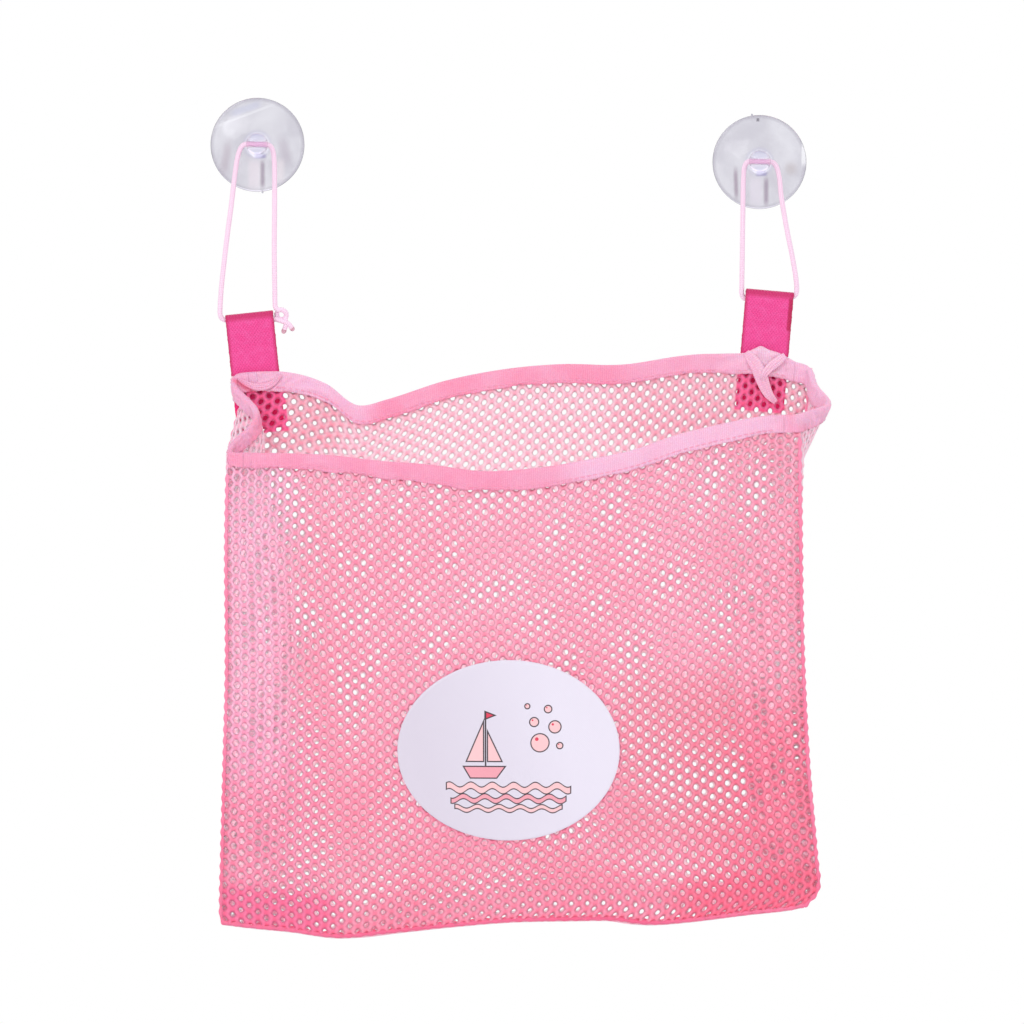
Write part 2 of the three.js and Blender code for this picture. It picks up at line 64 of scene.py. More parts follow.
# Light and floor, in metres and watts: each lamp's name, place, size and power, and a turn where it
# doesn't face the bag. The one inside the bag lights the back net as light through yarn does
LIT_PLACE = (0, 0, -0.2)
LAMPS = [
    ("key", (-1.1, -1.9, 0.9), 1.2, 12),
    ("fill", (1.5, -1.6, 0.1), 1.6, 4),
    ("rear", (0.3, 1.6, 0.9), 1.4, 4),
    ("inner", (0.0025, -0.0357, -0.282), (0.285, 0.225), 0.08, (math.radians(91.4), 0, 0)),
]
WORLD_LEVEL = 0.9
FLOOR_HEIGHT, FLOOR_RADIUS, FLOOR_SIDES = -0.62, 1.1, 96

# Suction cups
CUP_SPACING = 256.6
CUP_STAGGER = 8.8
CUP_RADIUS = 24
CUP_EDGE = 0.9
CUP_SIDES = 96
SEAL_INNER_RADIUS = 20.4
SEAL_CAVITY = 2.4
DOME_HEIGHT = 8.2
POST_RADIUS = 4.8
HEAD_RADIUS = 5.6
HEAD_START = 14.8
HEAD_HEIGHT = 4.6
BORE_HALF_LENGTH = 14
GATE_RADIUS = 0.5
GATE_REACH, GATE_ROOT = 0.5, 2.5
GATE_LIFT = 0.55
GATE_TURNS = (-84, 99)
CREASE_ANGLE = 50

# Cord
CORD_DIAMETER = 2.3
CORD_CLEARANCE = 0.45
CORD_FULLNESS = 0.14
CORD_RADIUS = CORD_DIAMETER / 2 + CORD_FULLNESS
CORD_DEPTH = 12
TIP_RADIUS = 1.3
TIP_LENGTH = 0.6

# Webbing tabs
WEBBING_WIDTH = 24.5
WEBBING_THICKNESS = 1.2
TAB_LENGTH = 60
EYE_RADIUS = 2.1
EYE_LENGTH = 16
TAB_DEPTH = 3.9
FOLD_SEAT_GAP = 0.3
FOLD_X = (-132.3, 133.4)
FOLD_DROP = (84.8, 74.2)
TAB_TURN = (6, -5)
STITCH_BOX = (18, 13)
STITCH_INSET = 4
STITCH_COVER = 0.78

# Bag
BAG_LEFT, BAG_RIGHT = -144.2, 149.6
RIM_DROP = 102.5
BAG_HEIGHT = 275
BOTTOM_SAG = 22.5
BACK_RIM_DIP = 26
FRONT_RIM_DIP = 60
PANEL_DEPTH = 7.1
BACK_BOW = 4
BASE_DEPTH = 27
MOUTH_SIDE_DEPTH = 34
BELLY_BULGE = 5
MOUTH_BULGE = 14
LEFT_SWAY = 3
RIGHT_SWAY = 9.5
FOLD_DEPTH = 33
RIGHT_MOUTH_FLARE = 12
BACK_RIPPLE, BACK_RIPPLE_SEED = 1.2, 3
FRONT_RIPPLE, FRONT_RIPPLE_SEED = 1.8, 5
TAPE_TOP = 1.1

# Net
GUSSET_SIZE, BACK_SIZE, FRONT_SIZE, BASE_SIZE = (68, 265), (303, 284), (298, 235), (286, 32)
GUSSET_INSET, BASE_INSET = 0.03, 0.04
NET_THICKNESS = 0.8
CELL_PITCH = 4.0
CELL_RISE = 5.8
HOLE_HALF_WIDTH = 1.5
HOLE_HALF_HEIGHT = 1.62
HOLE_TURNS = [0, 34, 64, 90, 116, 146, 180, 214, 244, 270, 296, 326]
BACK_LEAN, BACK_DRIFT = 0.055, 0.012
FRONT_LEAN, FRONT_DRIFT = -0.03, -0.01
SEAM_RADIUS = 0.6
SEAM_BUMP = 0.7
SEAM_SPACING = 0.72
SEAM_SIDE_INSET, SEAM_BOTTOM_INSET, SEAM_TOP = 0.0018, 0.004, 0.955
SEAM_PLACES = 300

# Tape round the mouth
TAPE_WIDTH = 9.5
TAPE_THICKNESS = 0.8
TAPE_SLOT = 0.9
TAPE_FACE_ROWS = 9
TAPE_SEEDS = {"back": 21, "front": 22, "left": 30, "right": 31}
STITCH_PITCH = 3.2
STITCH_LENGTH = 2.3
STITCH_RADIUS = 0.3
STITCH_DROP = 7.5
TAPE_ENDS, TAPE_PLACES = (0.029, 0.971), 260
STITCH_ENDS, STITCH_PLACES = (0.04, 0.96), 900

# Label
LABEL_HALF = (56.5, 46)
LABEL_DROP = 304.5
LABEL_THICKNESS = 0.6
LABEL_LIFT = 1.2

# The label's design, in millimetres from its middle: the waves' height, swing, length and phase, then
# their half width, tint and thickness; the boat's corners anticlockwise; the bubbles' middles and radii
INK, PALE_INK, DEEP_INK, RED_INK = (66, 54, 62), (248, 200, 204), (242, 164, 178), (226, 62, 92)
INK_EDGE = 0.08
WAVES = [
    ((-19, 1.3, 11, 0.0), 30, PALE_INK, 3.4), ((-24.5, 1.2, 11, 2.2), 28.075, DEEP_INK, 2.6),
    ((-29.5, 1.0, 11, 4.4), 26.325, PALE_INK, 2.2),
]
BOAT = [
    ([(-23, -8), (-19.5, -14), (-6, -14), (-1.5, -8)], DEEP_INK),
    ([(-12.6, -5.5), (-12.6, 15), (-21.5, -5.5)], PALE_INK),
    ([(-10.6, -5.5), (-3.2, -5.5), (-10.6, 10)], PALE_INK),
    ([(-11.9, 16), (-6.8, 18), (-11.9, 20)], RED_INK),
]
MAST = [(-12, -8), (-11.2, -8), (-11.2, 20), (-12, 20)]
BUBBLES = [(16, 4, 4.6), (23.5, 12, 3.1), (13, 14.5, 2.3), (20, 21, 1.9), (9.5, 22.5, 1.3), (26, 2.5, 1.6)]

# Outline shares: the share of the way across or up, then the share of the named size
BACK_RIM_SHARES = [
    [0, 0.4], [0.04, 0.35], [0.105, 0.37], [0.165, 0.59], [0.216, 1], [0.267, 0.9], [0.368, 0.53],
    [0.47, 0.3], [0.57, 0.2], [0.672, 0.21], [0.773, 0.04], [0.824, 0], [0.925, 0.05], [1, 0.24],
]
FRONT_RIM_SHARES = [
    [0, 0.84], [0.17, 0.86], [0.265, 0.91], [0.356, 0.945], [0.449, 1], [0.552, 0.965], [0.63, 0.9],
    [0.707, 0.82], [0.785, 0.69], [0.861, 0.6], [0.938, 0.53], [1, 0.52],
]
BOTTOM_SHARES = [
    [0, 0.7], [0.05, 0.78], [0.114, 0.86], [0.2, 1], [0.29, 0.89], [0.392, 0.75], [0.494, 0.64],
    [0.6, 0.61], [0.67, 0.61], [0.73, 0.7], [0.8, 0.64], [0.9, 0.48], [0.97, 0.38], [1, 0.3],
]
LEFT_EDGE_SHARES = [[0, 0.4], [0.02, 0.9], [0.15, 0.7], [0.3, 0.4], [0.55, -0.1], [0.8, 0]]
LEFT_FRONT_EDGE_SHARES = [*LEFT_EDGE_SHARES, [1, -0.3]]
LEFT_BACK_EDGE_SHARES = [
    *LEFT_EDGE_SHARES, [0.875, -0.6], [0.93, -1.9], [0.955, -2.4], [0.975, -1.9], [1, -0.8],
]
RIGHT_EDGE_SHARES = [[0, 0.15], [0.035, 0.88], [0.1, 0.8], [0.3, 0.35], [0.55, 0.05]]
RIGHT_FRONT_EDGE_SHARES = [*RIGHT_EDGE_SHARES, [0.8, -0.05], [1, -0.1]]
RIGHT_BACK_EDGE_SHARES = [*RIGHT_EDGE_SHARES, [0.8, 0.05], [1, 0.6]]
BACK_DRAWN_SHARES = [
    [0.085, 0], [0.105, 1], [0.2, 1], [0.32, 0], [0.68, 0], [0.8, 1], [0.865, 1], [0.885, 0],
    [0.955, 0], [0.975, 1],
]
LEFT_FOLD_SHARES = [[0, 0.35], [0.1, 0.85], [0.3, 1], [0.65, 1], [0.8, 0.75], [0.93, 0.5], [1, 0.43]]
RIGHT_FOLD_SHARES = [[0, 0.35], [0.1, 0.85], [0.3, 1], [0.6, 1], [0.78, 0.55], [0.9, 0.1], [1, 0]]
RIGHT_FLARE_SHARES = [[0, 0], [0.7, 0], [0.84, 0.12], [0.92, 0.42], [1, 1]]
RIGHT_RIM_SHARES = [[0, 0], [0.5, 0.66], [1, 1]]
PLAIN_RIM_SHARES = [[0, 0], [1, 1]]
RIGHT_FOLD_LEAN = 1.3
DOME_SHARES = [[0.86, 0.03], [0.7, 0.12], [0.52, 0.27], [0.36, 0.48], [0.24, 0.72], [0.2, 0.9]]
HEAD_SHARES = [[0.97, 0.08], [1, 0.3], [0.95, 0.58], [0.78, 0.82], [0.45, 0.97]]

# How yarn changes its tone with height: from where and to where, in metres, and how far. On the back and the
# sides the paler tone below the front rim is painted light, which stands in for light inside the bag
FRONT_FALL, BACK_PAINTED_LIGHT_FALL, SIDE_PAINTED_LIGHT_FALL = (-0.16, -0.4, 0.65), (-0.14, -0.175, 0.9), (-0.13, -0.17, 0.95)

# Soft marks of colour: tint, middle, half width and height, turn, how far these fade, and share
TAB_MARKS = [
    ((255, 104, 166), (-126.4, -128), (WEBBING_WIDTH / 2, 14.5), 6, (1, 1), 0.95),
    ((255, 104, 166), (129.2, -118), (WEBBING_WIDTH / 2, 13.5), -5, (1, 1), 0.9),
]
# Painted shade: a slit's shade, as a dark crimson line down the right tab below its fold
TAB_SLIT_SHADE = ((190, 8, 78), (143.9, -82.6), (0.8, 7.2), -5, (0.9, 2), 0.85)
# The second and third marks are painted shade: deeper pink at the lower right, and in a fold there
FRONT_MARKS = [
    ((255, 204, 230), (-140, -220), (16, 80), 0, (25, 40), 0.7),
    ((255, 126, 156), (140, -350), (18, 42), 0, (50, 50), 0.7),
    ((238, 150, 166), (86, -308), (22, 30), 0, (18, 24), 0.4),
    ((255, 136, 186), (-122, -336), (18, 36), 0, (16, 24), 0.2),
    ((255, 110, 162), (-124, -386), (26, 7), -5, (22, 8), 0.7),
    ((255, 116, 148), (124, -381), (24, 8), 6, (30, 12), 0.7),
]
# The first two marks are painted shade: greyer net just below the tape near both ends of the mouth
BACK_MARKS = [
    ((238, 184, 197), (-104, -134), (12, 12), 0, (12, 10), 0.6),
    ((244, 188, 202), (100, -128), (36, 12), 0, (20, 10), 0.5), *TAB_MARKS,
]
# Painted shade: deeper pink at the lower right, as on the front
SIDE_PAINTED_SHADE = [
    ((255, 186, 204), (140, -350), (24, 42), 0, (40, 50), 0.5),
]
TAPE_MARKS = [
    ((250, 202, 228), (-122, -118), (28, 12), 0, (12, 8), 0.85),
    ((253, 208, 234), (-92, -124), (14, 18), 0, (16, 8), 0.85),
    ((255, 216, 238), (135, -112), (20, 12), 0, (16, 8), 0.9),
    ((255, 226, 242), (129, -112), (9, 13), 0, (4, 6), 0.6),
    ((249, 188, 218), (-141, -132), (8, 16), 0, (4, 8), 0.8),
    ((253, 206, 232), (158, -124), (10, 12), 0, (6, 8), 0.8),
    ((254, 212, 237), (84, -150), (44, 14), 0, (24, 8), 0.9),
    ((252, 190, 218), (92, -112), (26, 8), 0, (16, 6), 0.6),
    # Painted shade: a dark line in the fold where the left side tape overlaps the back tape
    ((255, 104, 146), (-134.6, -119.6), (6, 0.3), -34, (3, 1.6), 0.65),
]
# Painted refraction: the cord's pink on the vinyl where the cord runs through the post
CORD_IN_POST = ((255, 206, 236), (0, 0), (5.2, 1.1), 0, (1, 0.7), 0.85)
# Painted reflections and refraction on each cup, from its middle: light and dark streaks below and beside the
# post, purple shade just below and above the post, on the left cup a highlight line and a bluish streak near
# the top, and on the right cup a white highlight at its edge. The right cup also has a dark dot at its
# moulding gate
VINYL_REFLECTIONS_AND_MARKS = [
    [
        ((240, 228, 238), (-1.6, -15), (1.4, 4), 0, (3, 6), 0.5),
        ((144, 122, 146), (2.6, -15), (0.2, 4), 0, (1.7, 5), 0.6),
        ((190, 174, 188), (-16.2, -7), (0.2, 3), -9, (3.4, 9), 0.45),
        ((184, 172, 188), (14, -3.5), (0.4, 2), 15, (4, 8), 0.45),
        ((246, 236, 242), (11, -13), (1, 3), 0, (3, 5), 0.5),
        ((246, 246, 252), (-7, 14.8), (11, 0.1), 21, (7, 1), 0.45),
        ((198, 202, 232), (-6, 18.4), (5, 0.5), 19, (5, 2.2), 0.35),
        ((128, 120, 180), (1.5, -5.6), (1.6, 0.4), 0, (2, 1.4), 0.6),
        ((150, 146, 200), (0, 4.6), (2.4, 0.3), 0, (2, 1.2), 0.4),
    ],
    [
        ((236, 228, 242), (-2, -15), (1.4, 4), 0, (3, 6), 0.5),
        ((144, 120, 146), (3.4, -15), (0.2, 4), 0, (1.8, 5), 0.6),
        ((150, 126, 148), (-12, -11), (0.1, 4), 2, (1.7, 6), 0.6),
        ((192, 180, 182), (16, -3.5), (0.5, 0.5), 0, (4.5, 4.5), 0.45),
        ((248, 248, 253), (22.6, 3.6), (0.6, 3), 0, (1, 4), 0.9),
        ((116, 112, 124), (-0.8, 21.6), (0.3, 0.4), 0, (0.8, 0.8), 0.8),
        ((128, 120, 180), (1, -5.8), (1.6, 0.4), 0, (2, 1.4), 0.6),
        ((150, 146, 190), (0, 4.8), (2, 0.3), 0, (2, 1.2), 0.4),
    ],
]

# The tapes along their run: width as a share, wrinkles and the top edge's lift in millimetres
BACK_TAPE_WIDTHS = [[0, 0.95], [0.2, 0.95], [0.3, 0.9], [0.6, 0.92], [1, 0.96]]
FRONT_TAPE_WIDTHS = [[0, 0.66], [0.2, 0.74], [0.35, 0.88], [0.5, 0.95], [0.85, 0.95], [1, 0.85]]
SIDE_TAPE_WIDTHS = [[[0, 0.95], [1, 0.66]], [[0, 0.96], [1, 0.85]]]
BACK_TAPE_LIFTS = [
    [0, 0], [0.84, 0], [0.88, 0.3], [0.908, 0.9], [0.925, 3.4], [0.936, 4.9], [0.95, 3.4],
    [0.968, 2.6], [1, 0],
]
NO_LIFTS = [[0, 0], [1, 0]]
BACK_TAPE_WRINKLES = [[0, 0.5], [0.12, 0.4], [0.2, 0.12], [0.82, 0.12], [0.9, 0.45], [1, 0.4]]
FRONT_TAPE_WRINKLES = [[0, 0.15], [0.85, 0.12], [1, 0.35]]
SIDE_TAPE_WRINKLES = [[0, 0.3], [1, 0.3]]
TAPE_CALM = 4
TAPE_TUCK = 0.97

# Cord routes between the knots or folds, X and Z
LEFT_ROUTE = [
    [-126, -84.5], [-134, -84.9], [-141, -85.2], [-144.6, -85.2], [-146.4, -84.4], [-147.3, -82.4],
    [-147.3, -78], [-146.6, -68], [-145.4, -57], [-143.6, -42], [-141.6, -27], [-139.5, -10],
    [-138.2, -2], [-136.9, 2], [-134.9, 4.3], [-132.6, 4.55], [-128.3, 4.4], [-124, 4.25],
    [-121.9, 3.8], [-120.4, 1.6], [-119.6, -4], [-119.4, -20], [-119.6, -50], [-119.4, -70],
]
RIGHT_ROUTE = [
    [134, -74.2], [139, -74], [143.4, -73.75], [145.5, -73.3], [146.9, -72], [147.3, -69.6], [147, -65],
    [145.4, -55], [142, -38], [139.3, -22], [138.2, -12], [136.6, -6.6], [134.8, -4.75], [132.6, -4.55],
    [128.3, -4.4], [124, -4.25], [121.9, -4.7], [120.6, -7], [120, -13], [119.7, -30], [119.4, -55],
    [119.2, -68], [119.2, -71.8], [120.3, -73.9], [122.6, -74.6], [127, -74.5], [133, -74.25],
]
# The left knot: X, how far out of the loop's plane, and Z
FOLD_TAIL = [
    [-110.8, -1.3, -89.2], [-112.1, -1.5, -87.5], [-114.0, -1.6, -86.3], [-116.3, -1.4, -85.5],
    [-118.8, -0.8, -84.8], [-121.5, -0.2, -84.5],
]
KNOT_RING = [
    [-119.3, -0.1, -76], [-119.0, -0.4, -78.7], [-117.6, -0.8, -80.1], [-115.6, -1.0, -80.0],
    [-113.9, -0.9, -81.2], [-113.5, -0.4, -83.1], [-114.7, 0.4, -84.7], [-116.6, 0.9, -84.9],
    [-118.2, 1.2, -83.6], [-118.4, 1.2, -81.8],
]
KNOT_TAIL = [
    [-114.2, -0.7, -84.2], [-113.6, -1.1, -86.2], [-114.0, -1.2, -88.6], [-114.6, -1.0, -90.4],
]
# Gathered folds of the tape over the right tab: X, Y, Z and half the width
TAPE_FOLDS = [
    [[121.4, -10.2, -101.6, 1.6], [123.8, -10.8, -104.8, 2.8], [126.6, -11.1, -108.8, 3.3],
     [128.8, -10.9, -113.6, 3.4], [130.6, -10.4, -118.6, 3], [133, -10, -123.4, 2.3],
     [136.6, -9.8, -127.4, 1.3]],
    [[141.4, -10.3, -103.4, 1.6], [138.2, -11, -105.8, 2.2], [134.4, -11.5, -108.8, 2.3],
     [131.2, -11.5, -112.2, 1.9], [129.6, -11.2, -116, 1.2]],
    [[-138.4, -9.6, -115, 0.6], [-133.6, -10.4, -118, 1.5], [-127, -10.9, -119.6, 1.8],
     [-120.6, -10.8, -117.8, 1.5], [-116.4, -10.4, -113.4, 0.9]],
]


def colour(red, green, blue):
    """A colour written as it shows on screen, 0 to 255, as the linear one that a shader takes."""
    parts = [c / 255 for c in (red, green, blue)]
    return (*[c / 12.92 if c < 0.04045 else ((c + 0.055) / 1.055) ** 2.4 for c in parts], 1.0)


def along(table, t):
    """The smooth curve through a table of shares."""
    x, y = np.array(table, float).T
    low = np.maximum(np.arange(len(x)) - 1, 0)
    high = np.minimum(np.arange(len(x)) + 1, len(x) - 1)
    slope = (y[high] - y[low]) / (x[high] - x[low])
    t = np.asarray(t, float)
    i = np.clip(np.searchsorted(x, t, side="left") - 1, 0, len(x) - 2)
    span = x[i + 1] - x[i]
    s = (t - x[i]) / span
    blend = s * s * (3 - 2 * s)
    lean = slope[i] * span * (1 - s) - slope[i + 1] * span * s
    return y[i] + (y[i + 1] - y[i]) * blend + s * (1 - s) * lean


def mix(a, b, t):
    return a + (b - a) * t


def rising(t, low, high):
    """0 at low and 1 at high, and level past them."""
    return np.clip((t - low) / (high - low), 0, 1)


def unit(vectors):
    length = np.linalg.norm(vectors, axis=-1, keepdims=True)
    return vectors / np.maximum(length, 1e-9)


def stacked(*parts):
    return np.stack(np.broadcast_arrays(*parts), axis=-1).astype(float)


def circle(sides):
    """The cosine and sine at each of that many equal turns."""
    turn = np.arange(sides) * TURN / sides
    return np.cos(turn), np.sin(turn)


def run_of(line):
    """The distance along a line at each of its points."""
    steps = np.linalg.norm(np.diff(line[:, :3], axis=0), axis=1)
    return np.concatenate([[0], np.cumsum(steps)])


def waves(u, v, seed, count=7):
    """A gentle field of about -1 to 1 that is the same each run."""
    draw = np.random.default_rng(seed)
    total = 0
    for _ in range(count):
        fu, fv = draw.uniform(0.6, 3.4), draw.uniform(0.2, 2.2)
        total = total + np.sin(TURN * (fu * u + fv * v + draw.random())) / math.sqrt(count)
    return total


# The bag's surfaces: u runs from the left edge to the right, v from the bottom to the mouth
def across_bag(u, v, left_shares, right_shares):
    left = BAG_LEFT - LEFT_SWAY * along(left_shares, v)
    return mix(left, BAG_RIGHT + RIGHT_SWAY * along(right_shares, v), u)


def bottom_z(u):
    return -RIM_DROP - BAG_HEIGHT - BOTTOM_SAG * along(BOTTOM_SHARES, u)


def rim_z(u, dip, shares):
    return -RIM_DROP - TAPE_TOP - dip * along(shares, u)


def inside_share(u, v):
    """0 on a panel's edges and 1 well inside it."""
    return np.clip(6 * u * (1 - u), 0, 1) * np.clip(6 * v * (1 - v), 0, 1)


def back_point(u, v):
    x = across_bag(u, v, LEFT_BACK_EDGE_SHARES, RIGHT_BACK_EDGE_SHARES)
    y = -(PANEL_DEPTH + BACK_BOW * np.sin(math.pi * u) * v)
    y = y + BACK_RIPPLE * waves(u, v, BACK_RIPPLE_SEED) * inside_share(u, v)
    return stacked(x, y, mix(bottom_z(u), rim_z(u, BACK_RIM_DIP, BACK_RIM_SHARES), v))


def front_point(u, v):
    x = across_bag(u, v, LEFT_FRONT_EDGE_SHARES, RIGHT_FRONT_EDGE_SHARES)
    bulge = np.sin(math.pi * u) * mix(BELLY_BULGE, MOUTH_BULGE, v * v)
    y = -(PANEL_DEPTH + mix(BASE_DEPTH, MOUTH_SIDE_DEPTH, v) + bulge)
    y = y + FRONT_RIPPLE * waves(u, v, FRONT_RIPPLE_SEED) * inside_share(u, v)
    return stacked(x, y, mix(bottom_z(u), rim_z(u, FRONT_RIM_DIP, FRONT_RIM_SHARES), v))


def gusset_point(side, s, v):
    """From the back panel's edge, s = 0, to the front panel's edge, s = 1."""
    back, front = back_point(side, v), front_point(side, v)
    fold = FOLD_DEPTH * along(LEFT_FOLD_SHARES, v)
    if side:
        fold = RIGHT_MOUTH_FLARE * along(RIGHT_FLARE_SHARES, v) - FOLD_DEPTH * along(RIGHT_FOLD_SHARES, v)
    rise = along(RIGHT_RIM_SHARES if side else PLAIN_RIM_SHARES, s)
    bend = np.sin(math.pi * np.clip(s, 0, 1) ** (RIGHT_FOLD_LEAN if side else 1)) ** 2
    x = mix(back[..., 0], front[..., 0], s) + fold * bend
    return stacked(x, mix(back[..., 1], front[..., 1], s), mix(back[..., 2], front[..., 2], rise))


def gusset_net(side):
    return lambda s, v: gusset_point(side, mix(GUSSET_INSET, 1 - GUSSET_INSET, s), v)


def base_point(u, s):
    s = mix(BASE_INSET, 1 - BASE_INSET, s)
    left, right = gusset_point(0, s, 0 * s), gusset_point(1, s, 0 * s)
    y = mix(back_point(u, 0 * u)[..., 1], front_point(u, 0 * u)[..., 1], s)
    return stacked(mix(left[..., 0], right[..., 0], u), y, bottom_z(u))


def normals_of(surface, a, b):
    along_a = surface(a + SHARE_STEP, b) - surface(a - SHARE_STEP, b)
    along_b = surface(a, b + SHARE_STEP) - surface(a, b - SHARE_STEP)
    return unit(np.cross(along_a, along_b))


def mesh_piece(name, points, faces, material, flat=None):
    """A smooth mesh from points in millimetres. flat gives each point's place on the cloth, also in
    millimetres, or else one place for each corner of each face."""
    mesh = bpy.data.meshes.new(name)
    mesh.from_pydata((np.reshape(points, (-1, 3)) * MM).tolist(), [], faces)
    if flat is not None:
        flat = np.reshape(flat, (-1, 2))
        corners = np.zeros(len(mesh.loops), np.int32)
        mesh.loops.foreach_get("vertex_index", corners)
        spread = flat[corners] if len(flat) == len(mesh.vertices) else flat
        mesh.uv_layers.new(name="flat").uv.foreach_set("vector", (spread * MM).ravel())
    mesh.polygons.foreach_set("use_smooth", [True] * len(mesh.polygons))
    mesh.materials.append(material)
    mesh.validate()
    piece = bpy.data.objects.new(name, mesh)
    bpy.context.scene.collection.objects.link(piece)
    return piece


def ring_faces(rows, sides):
    """Quads between closed rings of points, ring after ring."""
    j, i = np.meshgrid(np.arange(rows - 1), np.arange(sides), indexing="ij")
    k = (i + 1) % sides
    corners = [j * sides + i, j * sides + k, (j + 1) * sides + k, (j + 1) * sides + i]
    return np.stack(corners, -1).reshape(-1, 4).tolist()


def capped_faces(rows, sides):
    last = (rows - 1) * sides
    return ring_faces(rows, sides) + [list(range(sides))[::-1], list(range(last, last + sides))]


def pointed_faces(rows, sides):
    """Rings closed by a point at each end, which the mesh has after the rings' points."""
    low, last = rows * sides, (rows - 1) * sides
    faces = ring_faces(rows, sides) + [[low, (k + 1) % sides, k] for k in range(sides)]
    return faces + [[low + 1, last + k, last + (k + 1) % sides] for k in range(sides)]


def spaced(line, spacing):
    """The same line with points about spacing apart."""
    run = run_of(line)
    at = np.linspace(0, run[-1], max(2, int(round(run[-1] / spacing)) + 1))
    return np.stack([np.interp(at, run, column) for column in line.T], axis=1)


def smooth_line(points, spacing):
    """A smooth line through points, with points about spacing apart."""
    points = np.asarray(points, float)
    p = np.concatenate([2 * points[:1] - points[1:2], points, 2 * points[-1:] - points[-2:-1]])
    line = []
    for k in range(len(points) - 1):
        a, b, c, d = p[k : k + 4]
        gaps = [math.sqrt(max(np.linalg.norm(q - r), 1e-6)) for q, r in ((b, a), (c, b), (d, c))]
        knots = np.cumsum([0] + gaps)
        t = np.linspace(knots[1], knots[2], 24, endpoint=False)[:, None]
        rows = (a, b, c, d)
        for spans in (((0, 1), (1, 2), (2, 3)), ((0, 2), (1, 3)), ((1, 2),)):
            rows = [
                mix(low, high, (t - knots[i]) / (knots[j] - knots[i]))
                for low, high, (i, j) in zip(rows, rows[1:], spans)
            ]
        line.append(rows[0])
    return spaced(np.concatenate([*line, points[-1:]]), spacing)


def carried_frames(line):
    """Two directions across a line at each point, turned as little as it allows."""
    ahead = unit(np.gradient(line, axis=0))
    first = np.cross(ahead[0], [0.3, 0.9, 0.2])
    side = [first / np.linalg.norm(first)]
    for k in range(1, len(line)):
        turned = side[-1] - ahead[k] * np.dot(side[-1], ahead[k])
        side.append(turned / np.linalg.norm(turned))
    side = np.array(side)
    return side, np.cross(ahead, side)


def tube(line, radius, sides=16, round_ends=True):
    """Points, faces and flat places of a tube along a line. radius is one for all or for each point."""
    line = np.asarray(line, float)
    radius = np.broadcast_to(np.asarray(radius, float), (len(line),)).copy()
    if round_ends:
        ahead = unit(np.gradient(line, axis=0))
        out = np.array([0.97, 0.75, 0.35])
        slim = np.sqrt(1 - out * out)
        start = line[0] - ahead[0] * radius[0] * out[:, None]
        end = line[-1] + ahead[-1] * radius[-1] * out[::-1, None]
        line = np.concatenate([start, line, end])
        radius = np.concatenate([radius[0] * slim, radius, radius[-1] * slim[::-1]])
    side, up = carried_frames(line)
    cos, sin = circle(sides)
    ring = cos[None, :, None] * side[:, None] + sin[None, :, None] * up[:, None]
    points = (line[:, None] + ring * radius[:, None, None]).reshape(-1, 3)
    run = run_of(line)
    j, i = np.meshgrid(np.arange(len(line) - 1), np.arange(sides), indexing="ij")
    corners = [(j, i), (j, i + 1), (j + 1, i + 1), (j + 1, i)]
    flat = np.stack([stacked(run[a], b) for a, b in corners], 2).reshape(-1, 2)
    cap_flat = [[end, k] for end in (run[0], run[-1]) for k in range(sides)]
    return points, capped_faces(len(line), sides), np.concatenate([flat, cap_flat])


def joined_piece(name, parts, material):
    """One piece from several sets of points, faces and flat places."""
    points, faces, flats, count = [], [], [], 0
    for p, f, w in parts:
        faces += [[i + count for i in face] for face in f]
        points.append(p)
        flats.append(w)
        count += len(p)
    return mesh_piece(name, np.concatenate(points), faces, material, np.concatenate(flats))


class Nodes:
    """Shader nodes that are added one call at a time; each call gives the node's output."""

    def __init__(self, tree):
        self.tree = tree

    def feed(self, socket, value):
        if isinstance(value, bpy.types.NodeSocket):
            self.tree.links.new(value, socket)
        else:
            socket.default_value = value

    def node(self, kind, inputs=None, output=0, **settings):
        made = self.tree.nodes.new("ShaderNode" + kind)
        for key, value in settings.items():
            setattr(made, key, value)
        for key, value in (inputs or {}).items():
            self.feed(made.inputs[key], value)
        return made.outputs[output]

    def math(self, operation, a, b=0.0, c=0.0):
        return self.node("Math", {0: a, 1: b, 2: c}, operation=operation)

    def signed(self, value, period):
        """A wave of -1 to 1 with that period."""
        return self.math("SINE", self.math("MULTIPLY", value, TURN / period))

    def half(self, value):
        """-1 to 1 as 0 to 1."""
        return self.math("MULTIPLY_ADD", value, 0.5, 0.5)

    def blend(self, share, a, b, mode="MIX"):
        inputs = {0: share, 6: a, 7: b}
        return self.node("Mix", inputs, output=2, data_type="RGBA", blend_type=mode)

    def ramp(self, value, low, high, to_low=0.0, to_high=1.0, kind="LINEAR"):
        inputs = {0: value, 1: low, 2: high, 3: to_low, 4: to_high}
        return self.node("MapRange", inputs, interpolation_type=kind)

    def tinted(self, tone, tint, *ramp, mode="MIX"):
        """The tone with a share of a tint, which the ramp gives."""
        return self.blend(self.ramp(*ramp), tone, colour(*tint), mode)

    def dyed(self, tone, dye, *ramp):
        return self.tinted(tone, dye, *ramp, mode="MULTIPLY")

    def split(self, vector):
        """The three parts of a vector."""
        return self.node("SeparateXYZ", {0: vector}).node.outputs

    def place(self):
        """The place on the object, in metres."""
        return self.node("TexCoord", output=3)

    def vector(self, operation, a, b=(0, 0, 0), output=0):
        return self.node("VectorMath", {0: a, 1: b}, output, operation=operation)

    def noise(self, vector, scale, detail=2.0):
        return self.node("TexNoise", {"Vector": vector, "Scale": scale, "Detail": detail})


